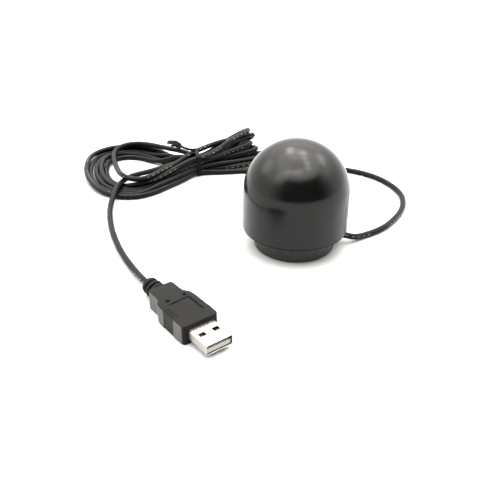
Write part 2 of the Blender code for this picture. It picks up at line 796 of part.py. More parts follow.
def make_plug():
    frame = bpy.data.objects.new("plug_frame", None)
    frame.location = PLUG_PLACE
    frame.rotation_euler = (0.0, 0.0, PLUG_TURN)
    PARTS.objects.link(frame)
    bpy.context.view_layer.update()
    make_overmould(frame)
    make_plug_shell(frame)
    make_plug_inside(frame)


def make_overmould(frame):
    """Grip with a narrower neck and a ribbed strain relief, with a pocket for the shell."""
    side = (
        (0.0, 7.5), (-0.7, 8.15), (-4.0, 8.35), (-9.0, 8.45), (-14.0, 8.35), (-17.8, 8.1),
        (-19.5, 7.7), (-20.7, 6.8), (-22.0, 6.0), (-24.0, 5.65), (-28.4, 5.5), (-29.7, 4.9),
        (-30.3, 3.6),
    )
    outline = [(x * MM, y * MM) for x, y in side]
    outline += [(x, -y) for x, y in reversed(outline)]
    half = OVERMOULD_HEIGHT / 2
    body = as_mesh(plate("plug_overmould", [outline], -half, half, MOULDED_VINYL, parent=frame))
    soften(body, 0.8 * MM)
    body.modifiers["soften"].angle_limit = math.radians(60)

    start = -29.0 * MM
    ring_edges = (-30.1, -30.9, -32.9, -33.7, -35.7, -36.5)
    ring_radii = (4.2, 3.3, 4.1, 3.1, 3.9, 2.9)
    profile = [(0.0, start), (4.2 * MM, start)]
    for index in range(0, len(ring_edges), 2):
        top = ring_radii[index] * MM
        bottom = ring_radii[index + 1] * MM
        fore = ring_edges[index] * MM
        rear = ring_edges[index + 1] * MM
        profile += [(top, fore), (bottom, fore - 0.1 * MM)]
        profile += [(bottom, rear + 0.1 * MM), (top - 0.1 * MM, rear)]
    profile += [(3.5 * MM, -38.4 * MM), (2.8 * MM, RELIEF_END), (0.0, RELIEF_END)]
    relief = turned("relief_ribs", profile, steps=24, parent=frame,
                    place=Matrix.Rotation(math.radians(90), 4, "Y"))
    combine(body, relief, "UNION")

    side_gap = SHELL_WIDTH / 2 + GAP
    up_gap = SHELL_HEIGHT / 2 + GAP
    pocket = boxes("shell_pocket", [((SHELL_BACK - GAP, -side_gap, -up_gap),
                                     (1.0 * MM, side_gap, up_gap))], parent=frame)
    combine(body, pocket, "DIFFERENCE")


def make_plug_shell(frame):
    """Folded steel shell with two latch windows through its upper face."""
    outer = rounded_rectangle(SHELL_WIDTH, SHELL_HEIGHT, 0.7 * MM)
    inner_width = SHELL_WIDTH - 2 * SHELL_WALL
    inner_height = SHELL_HEIGHT - 2 * SHELL_WALL
    inner = rounded_rectangle(inner_width, inner_height, 0.35 * MM)
    shell = as_mesh(plate("plug_shell", [outer, inner], SHELL_BACK, SHELL_TIP, NICKEL_STEEL,
                          place=along_plug(), parent=frame))
    window_x = 5.4 * MM
    window_y = 3.1 * MM
    half_length = 1.0 * MM
    half_width = 1.25 * MM
    top = SHELL_HEIGHT / 2 + 0.5 * MM
    windows = []
    for y in (-window_y, window_y):
        windows.append(((window_x - half_length, y - half_width, top - 1.2 * MM),
                        (window_x + half_length, y + half_width, top)))
    combine(shell, boxes("latch_windows", windows, parent=frame), "DIFFERENCE")


def make_plug_inside(frame):
    """Insulating tongue in the lower half of the shell, with four contacts on it."""
    inside_floor = -SHELL_HEIGHT / 2 + SHELL_WALL + GAP
    tongue_top = 0.15 * MM
    tongue_half = SHELL_WIDTH / 2 - SHELL_WALL - GAP - 0.1 * MM
    tongue_back = SHELL_BACK + 0.3 * MM
    tongue_front = SHELL_TIP - 0.6 * MM
    boxes("plug_tongue", [((tongue_back, -tongue_half, inside_floor),
                           (tongue_front, tongue_half, tongue_top))], PLUG_INSULATOR, parent=frame)
    contact_low = tongue_top + GAP
    contact_high = contact_low + 0.2 * MM
    for number, middle in enumerate((-3.5, -1.0, 1.0, 3.5), start=1):
        y = middle * MM
        reach = tongue_front - (0.8 if number in (1, 4) else 1.8) * MM
        strip = ((2.0 * MM, y - 0.5 * MM, contact_low), (reach, y + 0.5 * MM, contact_high))
        boxes(f"plug_contact_{number}", [strip], GOLD_PLATE, parent=frame)


# ---------------------------------------------------------------- cable, hank and tie


def tie_frame():
    """Frame of the twist tie: its Z runs along the bundle, X across it and Y up."""
    place = Matrix.Translation((*TIE_PLACE, (HANK_BOTTOM + HANK_TOP) / 2))
    turn = Matrix.Rotation(TIE_TURN, 4, "Z")
    stand = Matrix(((0, 0, 1, 0), (1, 0, 0, 0), (0, 1, 0, 0), (0, 0, 0, 1)))
    return place @ turn @ stand


def make_hank():
    """One solid for the tied cable, with an eye through the lobe and a channel for the tie."""
    outline = smooth_path(in_metres([(x, y, 0.0) for x, y in HANK_OUTLINE]), 8.0 * MM, closed=True)
    eye = smooth_path(in_metres([(x, y, 0.0) for x, y in HANK_EYE]), 7.0 * MM, closed=True)
    hank = as_mesh(plate("cable_hank", [outline, eye], HANK_BOTTOM, HANK_TOP, CABLE_JACKET))
    channel_half = TIE_WIDTH / 2 + GAP
    depth = TIE_THICKNESS + GAP
    waist_height = HANK_TOP - HANK_BOTTOM - 2 * depth
    around = rounded_rectangle(30.0 * MM, 24.0 * MM, 1.0 * MM, 1)
    waist = rounded_rectangle(WAIST_WIDTH, waist_height, 1.0 * MM, 2)
    channel = plate("tie_channel", [around, waist], -channel_half, channel_half, place=tie_frame())
    combine(hank, as_mesh(channel), "DIFFERENCE")


def make_twist_tie():
    """Flat band round the waist, with its twisted ends laid over the bundle."""
    depth = TIE_THICKNESS + GAP
    inner_width = WAIST_WIDTH + 2 * GAP
    inner_height = HANK_TOP - HANK_BOTTOM - 2 * depth + 2 * GAP
    outer = rounded_rectangle(inner_width + 2 * TIE_THICKNESS, inner_height + 2 * TIE_THICKNESS,
                              1.8 * MM, 3)
    inner = rounded_rectangle(inner_width, inner_height, 1.2 * MM, 3)
    half = TIE_WIDTH / 2
    band = as_mesh(plate("twist_tie", [outer, inner], -half, half, TIE_VINYL, place=tie_frame()))
    tail = tube("twist_tie_tail", smooth_path(in_metres(TAIL_ROUTE), 2.0 * MM), TAIL_RADIUS, None)
    combine(band, as_mesh(tail), "UNION")


def make_cable():
    loop = smooth_path(in_metres(LOOP_ROUTE), TUBE_SPACING)
    tube("cable_loop", loop, CABLE_RADIUS, CABLE_JACKET)
    lead = smooth_path(in_metres(LEAD_ROUTE), TUBE_SPACING)
    tube("cable_plug_lead", lead, CABLE_RADIUS, CABLE_JACKET)


make_dome_cover()
make_base_housing()
make_magnet()
make_case_screws()
make_cable_entry()
make_strain_tie()
make_wiring()
make_main_board()
make_board_components()
make_standoffs()
make_antenna()
make_coax()
make_plug()
make_hank()
make_twist_tie()
make_cable()
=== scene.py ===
import functools
import itertools
import math

import bmesh
import bpy
import numpy as np
from mathutils import Matrix, Vector


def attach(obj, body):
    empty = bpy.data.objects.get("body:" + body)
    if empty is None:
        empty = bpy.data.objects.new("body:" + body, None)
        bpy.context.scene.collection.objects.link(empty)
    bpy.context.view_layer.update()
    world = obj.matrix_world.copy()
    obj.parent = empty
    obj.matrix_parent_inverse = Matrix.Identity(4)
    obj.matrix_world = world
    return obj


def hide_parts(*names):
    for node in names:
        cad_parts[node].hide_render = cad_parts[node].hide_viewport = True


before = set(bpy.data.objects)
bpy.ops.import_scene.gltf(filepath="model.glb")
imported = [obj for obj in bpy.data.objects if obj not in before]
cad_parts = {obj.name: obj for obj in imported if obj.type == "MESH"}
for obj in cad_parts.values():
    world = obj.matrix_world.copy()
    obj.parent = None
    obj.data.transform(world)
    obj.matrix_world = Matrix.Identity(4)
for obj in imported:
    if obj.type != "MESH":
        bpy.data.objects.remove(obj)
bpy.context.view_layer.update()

MM = 0.001

# ---------------------------------------------------------------- camera

CAMERA_AT = (-0.02633, -0.269717, 0.151436)
CAMERA_PITCH = math.radians(90 - 29.046)
CAMERA_LENS = 47.31
CAMERA_SENSOR = 36

camera_data = bpy.data.cameras.new("camera")
camera_data.lens = CAMERA_LENS
camera_data.sensor_width = CAMERA_SENSOR
camera = bpy.data.objects.new("camera", camera_data)
camera.location = CAMERA_AT
camera.rotation_euler = (CAMERA_PITCH, 0, 0)
bpy.context.scene.collection.objects.link(camera)
bpy.context.scene.camera = camera

# ---------------------------------------------------------------- the cable's numbers, in millimetres

CABLE = 3.0  # its diameter
EXIT = (20.75, 0.0, 5.0)
LYING = 1.55  # the height of its centre where it lies on the floor

# From the foot round behind the dome to the hank, and from the plug back to the hank.
LOOP_ROUTE = (
    EXIT, (23.8, 0.05, 4.7), (27.2, 0.4, 3.6), (30.6, 1.9, 2.5), (34.2, 4.3, 1.75),
    (38.2, 6.9, LYING), (42.6, 9.9, LYING), (47.6, 14.4, LYING), (52.4, 20.5, LYING),
    (57.0, 27.4, LYING), (60.8, 35.2, LYING), (63.4, 43.5, LYING), (64.4, 53.0, LYING),
    (62.2, 63.3, LYING), (57.2, 73.8, LYING), (52.8, 79.6, LYING), (47.0, 84.4, LYING),
    (39.3, 88.4, LYING), (30.0, 92.0, LYING), (19.0, 95.2, LYING), (8.0, 97.6, LYING),
    (-1.9, 99.0, LYING),
)
LEAD_ROUTE = (
    (-65.2, -43.8, 4.4), (-67.7, -40.3, 4.1), (-70.7, -34.8, 3.2), (-74.7, -27.2, 2.3),
    (-79.2, -18.4, 1.7), (-83.4, -9.5, LYING), (-86.9, -0.7, LYING), (-89.8, 7.5, LYING),
    (-92.3, 16.1, LYING), (-94.9, 27.4, LYING), (-96.2, 36.5, 2.0), (-96.1, 43.0, 3.6),
)

# The hank: six lobes on the left of the tie, six folds on the right.
TIE = np.array((-52.6, 89.0, 0.0))
TIE_TURN = math.radians(14)
ALONG = np.array((math.cos(TIE_TURN), math.sin(TIE_TURN), 0.0))
ACROSS = np.array((-math.sin(TIE_TURN), math.cos(TIE_TURN), 0.0))

# Where each strand passes through the tie: across the bundle, and height. Near strands go to the near
# side of a lobe.
NEAR_SLOTS = ((-5.4, 1.5), (-5.1, 4.6), (-2.0, 6.2), (-4.9, 7.8), (-4.7, 10.9), (5.0, 11.4))
FAR_SLOTS = ((6.6, 1.6), (-2.2, 3.0), (1.0, 4.4), (3.6, 2.4), (5.7, 4.9), (5.0, 8.2))
LEAD_SLOT = (0.6, 8.2)

# A lobe: its left end, its near side as y and z, its far side as y and z, and how far its far side bows
# outwards.
LOBES = (
    ((-120.8, 99.0, 4.2), (49.6, 1.5), (121.0, 4.8), 2.0),
    ((-118.4, 97.0, 1.6), (52.8, 1.5), (121.5, 1.6), 1.5),
    ((-114.4, 95.0, 2.6), (56.0, 1.5), (118.3, 1.6), 0.5),
    ((-111.5, 96.0, 4.0), (59.2, 1.6), (115.0, 1.6), -1.5),
    ((-108.7, 97.0, 1.8), (60.5, 4.4), (109.8, 1.6), -3.5),
)

# The last lobe lies over the others and is seen whole.
TOP_LOBE = (
    (-58.0, 96.5, 9.6), (-62.6, 98.9, 10.3), (-71.6, 105.5, 9.5), (-82.8, 114.1, 8.6),
    (-93.1, 118.7, 8.0), (-101.4, 117.1, 7.5), (-105.3, 110.7, 7.0), (-105.0, 100.7, 6.5),
    (-102.0, 87.5, 6.5), (-96.9, 72.9, 7.2), (-91.5, 63.2, 7.9), (-85.9, 59.8, 7.8),
    (-77.8, 63.1, 7.8), (-70.0, 71.5, 8.6), (-62.2, 83.6, 10.0), (-58.5, 89.2, 10.6),
)

# A fold: its tip, how far its two legs turn from standing over each other, and half its width.
FOLDS = (
    ((-4.0, 93.5, 2.6), 0.8, 3.6),
    ((-7.0, 109.0, 5.0), 0.45, 3.8),
    ((-15.5, 114.5, 7.2), 0.5, 3.8),
    ((-19.0, 115.5, 10.0), 0.3, 3.6),
)

# The last two folds stand out at the top.
TOP_FOLDS = (
    (
        (-46.1, 85.5, 11.8), (-42.1, 90.6, 12.9), (-38.0, 96.2, 14.0), (-33.8, 102.2, 15.0),
        (-28.8, 108.1, 16.0), (-24.4, 113.3, 16.8), (-21.2, 120.4, 16.2), (-22.7, 125.6, 14.4),
        (-26.3, 123.4, 13.4), (-30.8, 118.9, 12.4), (-35.3, 113.7, 11.6), (-39.6, 108.6, 10.6),
        (-43.9, 103.8, 9.5), (-48.0, 98.8, 8.7),
    ),
    (
        (-48.0, 100.0, 12.1), (-43.8, 104.4, 12.6), (-38.9, 108.1, 12.9), (-33.9, 111.0, 13.0),
        (-28.2, 113.8, 13.3), (-22.5, 117.9, 13.6), (-18.2, 120.1, 13.4), (-16.5, 121.4, 12.2),
        (-18.8, 122.8, 10.9), (-23.7, 120.1, 10.5), (-28.9, 114.8, 10.2), (-34.5, 106.8, 10.0),
        (-40.0, 98.4, 9.7), (-45.2, 89.4, 9.4),
    ),
)

# Between the loop and the first strand, and between the last strand and the lead.
INTO_HANK = ((-14.0, 98.4, 1.6), (-28.0, 97.6, 1.8))
OUT_OF_HANK = (
    (-68.8, 87.6, 6.0), (-76.8, 78.6, 6.0), (-85.0, 72.9, 6.0), (-90.0, 70.0, 5.2), (-93.7, 64.0, 4.8),
    (-95.6, 55.2, 4.8),
)


def unit(vector):
    """The vector at length 1."""
    return vector / np.linalg.norm(vector)


def at_slot(slot):
    """The place of a strand inside the tie."""
    return TIE + ACROSS * slot[0] + np.array((0, 0, slot[1]))


def part_way(one, other, *shares):
    """A place between two others, with a share of the second for each axis."""
    return one + (other - one) * np.array(shares)


def lobe_points(start, end, lobe):
    """Control points of one lobe: from the tie round its far side, left end and near side, and back."""
    left, (near_y, near_z), (far_y, far_z), bow = lobe
    left = np.array(left)
    far = np.array((-92.0, far_y, far_z))
    near = np.array((-84.0, near_y, near_z))
    return [
        start + (far - start) * 0.36 + np.array((0, 0.75 * bow, 0)),
        start + (far - start) * 0.70 + np.array((0, bow, 0)),
        far,
        part_way(left, far, 0.40, 0.90, 0.5),
        part_way(left, far, 0.04, 0.52, 0.0),
        left,
        part_way(left, near, 0.10, 0.45, 0.0),
        part_way(left, near, 0.45, 0.88, 0.5),
        near,
        near + (end - near) * 0.33 + np.array((0.4, -0.4, 0)),
        near + (end - near) * 0.68 + np.array((0.4, -0.4, 0)),
        end,
    ]


def fold_points(start, end, fold):
    """Control points of one fold: out along one leg, round the tip, back along the other."""
    tip, turn, half = np.array(fold[0]), fold[1], fold[2]
    out = unit(tip - 0.5 * (start + end))
    down = np.array((0.0, 0.875, -0.485))
    side = unit(down - out * (down @ out))
    side = side * math.cos(turn) + np.cross(out, side) * math.sin(turn)
    shares = ((0.3, 0.42), (0.6, 0.62), (0.82, 0.95))
    going = [start + (tip - start) * share - side * half * apart for share, apart in shares]
    coming = [end + (tip - end) * share + side * half * apart for share, apart in reversed(shares)]
    round_tip = [tip - out * half - side * half, tip, tip - out * half + side * half]
    return going + round_tip + coming


def cable_points():
    """Control points of the whole cable, from the foot through the hank to the plug."""
    points = [np.array(p) for p in (*LOOP_ROUTE, *INTO_HANK)]
    slots = [at_slot(slot) for slot in (*FAR_SLOTS, LEAD_SLOT)]
    for turn, slot in enumerate(NEAR_SLOTS):
        far, near = slots[turn], at_slot(slot)
        points.append(far)
        if turn < len(LOBES):
            points += lobe_points(far, near, LOBES[turn])
        else:
            points += [np.array(p) for p in TOP_LOBE] + [near]
        if turn < len(FOLDS):
            points += fold_points(near, slots[turn + 1], FOLDS[turn])
        else:
            points += [np.array(p) for p in TOP_FOLDS[turn - len(FOLDS)]]
    points.append(slots[-1])
    points += [np.array(p) for p in (*OUT_OF_HANK, *reversed(LEAD_ROUTE))]
    return np.array(points)


def distances(line):
    """How far along the line each of its points is."""
    return np.concatenate([[0], np.cumsum(np.linalg.norm(np.diff(line, axis=0), axis=1))])


def resample(line, spacing):
    """The same line with points at equal distances."""
    run = distances(line)
    at = np.linspace(0, run[-1], max(2, round(run[-1] / spacing) + 1))
    return np.stack([np.interp(at, run, line[:, k]) for k in range(line.shape[1])], 1)


def smooth_line(points, spacing, steps=16):
    """A centripetal Catmull-Rom curve through the points."""
    points = np.asarray(points, float)
    ends = np.vstack([2 * points[0] - points[1], points, 2 * points[-1] - points[-2]])
    line = []
    for i in range(len(points) - 1):
        p0, p1, p2, p3 = ends[i : i + 4]
        t1 = np.linalg.norm(p1 - p0) ** 0.5
        t2 = t1 + np.linalg.norm(p2 - p1) ** 0.5
        t3 = t2 + np.linalg.norm(p3 - p2) ** 0.5
        t = np.linspace(t1, t2, steps, endpoint=False)[:, None]
        a1 = p0 + (p1 - p0) * t / t1
        a2 = p1 + (p2 - p1) * (t - t1) / (t2 - t1)
        a3 = p2 + (p3 - p2) * (t - t2) / (t3 - t2)
        b1 = a1 + (a2 - a1) * t / t2
        b2 = a2 + (a3 - a2) * (t - t1) / (t3 - t1)
        line.append(b1 + (b2 - b1) * (t - t1) / (t2 - t1))
    return resample(np.vstack(line + [points[-1:]]), spacing)


def curvature_change(line):
    """Each point's bend, and how it differs from its neighbours' bends: taking some of the difference
    away straightens kinks and keeps rounds."""
    bend = np.zeros_like(line)
    bend[1:-1] = 0.5 * (line[:-2] + line[2:]) - line[1:-1]
    change = np.zeros_like(line)
    change[1:-1] = 0.5 * (bend[:-2] + bend[2:]) - bend[1:-1]
    return bend, change


def settle(line, steps=400, head=20, tail=50):
    """Lets the cable lie as a stiff cord would: strands a diameter apart, on the floor, held together by
    the tie. The first and last points, as many as head and tail say, stay where they are."""
    gap = 1.027 * CABLE
    home_pull, tie_pull, weight = 0.045, 0.3, 0.012
    tie_reach, bundle_half_width = 3.5, 14
    band_lift, band_reach = 0.85, 8
    straightening, stiffness = 0.22, 0.05
    home, points = line.copy(), line.copy()
    rest = np.linalg.norm(np.diff(line, axis=0), axis=1).mean()
    skip = math.ceil(2.2 * gap / rest) + 1
    free = np.ones((len(line), 1))
    free[:head] = 0
    free[-tail:] = 0
    for step in range(steps):
        if step % 6 == 0:
            squares = (points**2).sum(1)
            apart = squares[:, None] + squares[None, :] - 2 * points @ points.T
            one, other = np.nonzero(np.triu(apart < (gap + 2) ** 2, skip))
        offset = points - TIE
        from_tie = np.abs(offset @ ALONG)
        bundled = np.abs(offset @ ACROSS) < bundle_half_width
        held = tie_pull * np.exp(-((from_tie / tie_reach) ** 2)) * bundled
        lowest = CABLE / 2 + band_lift * np.exp(-((from_tie / band_reach) ** 2)) * bundled
        move = (home - points) * (home_pull * (1 - 0.6 * step / steps) + held)[:, None]
        move[:, 2] -= weight
        points = points + move * free
        for _ in range(5):
            bend, change = curvature_change(points)
            points = points - straightening * change * free
        points = points + stiffness * bend * free
        for _ in range(2):
            piece = points[1:] - points[:-1]
            stretch = 0.45 * piece * (1 - rest / np.linalg.norm(piece, axis=1, keepdims=True))
            points[:-1] += stretch * free[:-1]
            points[1:] -= stretch * free[1:]
            between = points[one] - points[other]
            distance = np.linalg.norm(between, axis=1) + 1e-9
            close = distance < gap
            push = between[close] * (0.5 * (gap - distance[close]) / distance[close])[:, None]
            move, count = np.zeros_like(points), np.zeros(len(points))
            for index, way in ((one[close], push), (other[close], -push)):
                np.add.at(move, index, way)
                np.add.at(count, index, 1)
            points = points + move / np.maximum(0.6 * count, 1)[:, None] * free
            points[:, 2] = np.maximum(points[:, 2], lowest)
    return points


centreline = settle(smooth_line(cable_points(), 2.5))


def ring_faces(count, around, closed=False):
    """The faces between rings of points, each ring with the same number of points around."""
    faces = []
    for i in range(count if closed else count - 1):
        a, b = i * around, (i + 1) % count * around
        faces += [(a + j, a + (j + 1) % around, b + (j + 1) % around, b + j) for j in range(around)]
    return faces


def sweep(line, section, closed=False, up=None):
    """Rings of a section carried along a line without twist: points, faces and, for each point, how far
    along the line it is and its place round the section, 0 to 1."""
    count = len(line)
    ahead = np.roll(line, -1, 0) - np.roll(line, 1, 0)
    if not closed:
        ahead[0] = line[1] - line[0]
        ahead[-1] = line[-1] - line[-2]
    ahead /= np.linalg.norm(ahead, axis=1, keepdims=True)
    side = np.zeros_like(line)
    first = np.cross(ahead[0], (0, 0, 1)) if up is None else up[0]
    side[0] = unit(first - ahead[0] * (first @ ahead[0]))
    for i in range(1, count):
        step = side[i - 1] if up is None else up[i]
        side[i] = unit(step - ahead[i] * (step @ ahead[i]))
    other = np.cross(ahead, side)
    section = np.asarray(section)
    if section.ndim == 2:
        section = np.repeat(section[None], count, 0)
    points = line[:, None] + side[:, None] * section[:, :, :1] + other[:, None] * section[:, :, 1:]
    around = section.shape[1]
    faces = ring_faces(count, around, closed)
    if not closed:
        faces += [tuple(reversed(range(around))), tuple(range((count - 1) * around, count * around))]
    run, turn = np.repeat(distances(line), around), np.tile(np.arange(around) / around, count)
    return points.reshape(-1, 3), faces, run, turn


def mesh_object(name, points, faces, smooth_angle=40):
    """A mesh object from points in millimetres."""
    mesh = bpy.data.meshes.new(name)
    mesh.from_pydata([tuple(p) for p in np.asarray(points) * MM], [], faces)
    work = bmesh.new()
    work.from_mesh(mesh)
    bmesh.ops.recalc_face_normals(work, faces=work.faces)
    work.to_mesh(mesh)
    work.free()
    mesh.shade_smooth()
    mesh.set_sharp_from_angle(angle=math.radians(smooth_angle))
    made = bpy.data.objects.new(name, mesh)
    bpy.context.scene.collection.objects.link(made)
    return made


def point_values(piece, **named):
    """Numbers on the points of a mesh that its material reads."""
    for name, values in named.items():
        piece.data.attributes.new(name, "FLOAT", "POINT").data.foreach_set("value", values)


def circle_section(radius, count):
    """A round section for sweep."""
    angle = np.linspace(0, 2 * math.pi, count, endpoint=False)
    return np.stack([radius * np.cos(angle), radius * np.sin(angle)], 1)


cable_line = smooth_line(centreline, 1.25, steps=6)
skin_points, skin_faces, skin_run, skin_turn = sweep(cable_line, circle_section(CABLE / 2, 20))
cable = mesh_object("cable", skin_points, skin_faces)
point_values(cable, run=skin_run, turn=skin_turn)
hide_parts("cable_loop", "cable_hank", "cable_plug_lead")
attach(cable, "root")


def lathe(name, profile, steps):
    """A turned piece round Z from (radius, height) in millimetres, outer side first."""
    angle = np.linspace(0, 2 * math.pi, steps, endpoint=False)
    points, faces, rows = [], [], []
    for radius, height in profile:
        if radius < 1e-6:
            rows.append([len(points)])
            points.append((0.0, 0.0, height))
        else:
            rows.append(list(range(len(points), len(points) + steps)))
            points += [(radius * math.cos(a), radius * math.sin(a), height) for a in angle]
    for upper, lower in zip(rows, rows[1:]):
        for i in range(steps):
            j = (i + 1) % steps
            corners = [row[k % len(row)] for row, k in ((upper, i), (upper, j), (lower, j), (lower, i))]
            faces.append(tuple(dict.fromkeys(corners)))
    return mesh_object(name, points, [face for face in faces if len(face) > 2])


def arc(centre, radius, start, end, count):
    """Points of an arc as (radius, height), angles in degrees from the horizontal."""
    angles = np.radians(np.linspace(start, end, count))
    return [(centre[0] + radius * math.cos(a), centre[1] + radius * math.sin(a)) for a in angles]


# ---------------------------------------------------------------- materials


def maths_node(tree, operation, *values):
    """A Math node on sockets or plain numbers."""
    made = tree.nodes.new("ShaderNodeMath")
    made.operation = operation
    for socket, value in zip(made.inputs, values):
        if isinstance(value, (int, float)):
            socket.default_value = value
        else:
            tree.links.new(value, socket)
    return made.outputs["Value"]


def range_node(tree, value, low, high, to_low=0.0, to_high=1.0):
    """A smooth step from one number to another as the value goes from low to high."""
    made = tree.nodes.new("ShaderNodeMapRange")
    made.interpolation_type = "SMOOTHSTEP"
    for key, number in (("From Min", low), ("From Max", high), ("To Min", to_low), ("To Max", to_high)):
        made.inputs[key].default_value = number
    tree.links.new(value, made.inputs["Value"])
    return made.outputs["Result"]


class Finish:
    """A procedural material: Principled BSDF with noise in its colour, its roughness and its surface."""

    def __init__(self, name, roughness, metallic=0.0, **sockets):
        self.material = bpy.data.materials.new(name)
        self.material.use_nodes = True
        self.tree = self.material.node_tree
        self.shader = self.tree.nodes["Principled BSDF"]
        self.shader.inputs["Metallic"].default_value = metallic
        self.shader.inputs["Roughness"].default_value = roughness
        for socket, value in sockets.items():
            self.shader.inputs[socket.replace("_", " ")].default_value = value
        self.place = self.node("ShaderNodeTexCoord").outputs["Object"]
        self.normal = None

    def node(self, kind, **settings):
        made = self.tree.nodes.new(kind)
        for key, value in settings.items():
            if key in made.inputs:
                made.inputs[key].default_value = value
            else:
                setattr(made, key, value)
        return made

    def link(self, source, target):
        self.tree.links.new(source, target)

    def stretched(self, scale):
        """Object coordinates scaled on each axis."""
        mapping = self.node("ShaderNodeMapping")
        mapping.inputs["Scale"].default_value = scale
        self.link(self.place, mapping.inputs["Vector"])
        return mapping.outputs["Vector"]

    def noise(self, scale, detail=3.0, rough=0.55, vector=None):
        made = self.node("ShaderNodeTexNoise", Scale=scale, Detail=detail, Roughness=rough)
        self.link(vector or self.place, made.inputs["Vector"])
        return made.outputs["Fac"]

    def voronoi(self, scale, vector=None):
        made = self.node("ShaderNodeTexVoronoi", Scale=scale)
        self.link(vector or self.place, made.inputs["Vector"])
        return made.outputs["Distance"]

    def ranged(self, value, *limits):
        return range_node(self.tree, value, *limits)

    def maths(self, operation, *values):
        return maths_node(self.tree, operation, *values)

    def product(self, one, other):
        return self.maths("MULTIPLY", one, other)

    def number(self, name):
        """The numbers that the mesh's points carry under this name."""
        return self.node("ShaderNodeAttribute", attribute_name=name).outputs["Fac"]

    def mixed(self, factor, one, other):
        made = self.node("ShaderNodeMix", data_type="RGBA")
        for index, value in ((0, factor), (6, one), (7, other)):
            if isinstance(value, (int, float)):
                made.inputs[index].default_value = value
            elif isinstance(value, tuple):
                made.inputs[index].default_value = (*value, 1.0)
            else:
                self.link(value, made.inputs[index])
        return made.outputs[2]

    def bump(self, height, distance):
        made = self.node("ShaderNodeBump", Strength=1.0, Distance=distance)
        self.link(height, made.inputs["Height"])
        if self.normal is not None:
            self.link(self.normal, made.inputs["Normal"])
        self.normal = made.outputs["Normal"]
        self.link(self.normal, self.shader.inputs["Normal"])

    def colour(self, value):
        self.link(value, self.shader.inputs["Base Color"])

    def rough(self, value, low, high, to_low, to_high):
        self.link(self.ranged(value, low, high, to_low, to_high), self.shader.inputs["Roughness"])


def shade(colour, factor):
    """The colour made darker or lighter."""
    return tuple(min(1.0, channel * factor) for channel in colour)


def moulded(name, colour, roughness, spread=0.12, grain=2600.0, depth=0.000004, **sockets):
    """Moulded plastic or rubber: a fine spark-eroded grain, flow clouds and slightly uneven gloss."""
    made = Finish(name, roughness, **sockets)
    clouds = made.ranged(made.noise(90.0, 4.0), 0.35, 0.65)
    made.colour(made.mixed(clouds, shade(colour, 1 - spread), shade(colour, 1 + spread)))
    made.rough(made.noise(420.0, 2.0), 0.3, 0.7, roughness - 0.04, roughness + 0.05)
    made.bump(made.noise(grain, 2.0, 0.6), depth)
    return made.material


def metal(name, colour, roughness, stretch=(60.0, 2400.0, 2400.0), depth=0.0000015):
    """Rolled or plated metal: fine lines along one axis and cloudy tarnish."""
    made = Finish(name, roughness, metallic=1.0)
    lines = made.noise(1.0, 3.0, 0.6, made.stretched(stretch))
    clouds = made.noise(260.0, 3.0)
    toned = made.mixed(made.ranged(clouds, 0.3, 0.7), shade(colour, 0.9), colour)
    made.colour(made.mixed(made.ranged(lines, 0.35, 0.7, 0.0, 0.35), toned, shade(colour, 0.82)))
    made.rough(lines, 0.3, 0.7, roughness - 0.05, roughness + 0.09)
    made.bump(lines, depth)
    return made.material


def dome_plastic():
    """Polished black plastic, duller on the skirt, with a faint ripple, tiny scratches and a little dust."""
    colour = (0.0032, 0.0031, 0.00295)
    made = Finish("dome_plastic", 0.22, Specular_IOR_Level=0.28)
    clouds = made.noise(45.0, 3.0)
    base = made.mixed(made.ranged(clouds, 0.35, 0.65), shade(colour, 0.85), shade(colour, 1.15))
    specks = made.ranged(made.voronoi(620.0), 0.035, 0.06, 1.0, 0.0)
    chosen = made.ranged(made.noise(150.0, 1.0), 0.60, 0.66)
    dust = made.product(specks, chosen)
    made.colour(made.mixed(made.product(dust, 0.2), base, (0.03, 0.029, 0.027)))
    scratches = made.noise(1.0, 2.0, 0.5, made.stretched((3200.0, 160.0, 500.0)))
    uneven = made.ranged(made.product(made.noise(160.0, 3.0), scratches), 0.12, 0.42, 0.12, 0.19)
    split = made.node("ShaderNodeSeparateXYZ")
    made.link(made.place, split.inputs[0])
    satin = made.ranged(split.outputs["Z"], 20 * MM, 34 * MM, 0.14, 0.0)
    made.link(made.maths("ADD", uneven, satin), made.shader.inputs["Roughness"])
    made.bump(made.noise(330.0, 1.0), 0.0000035)
    made.bump(made.noise(3400.0, 2.0), 0.0000006)
    return made.material


CABLE_COLOUR = (0.0048, 0.00475, 0.0046)


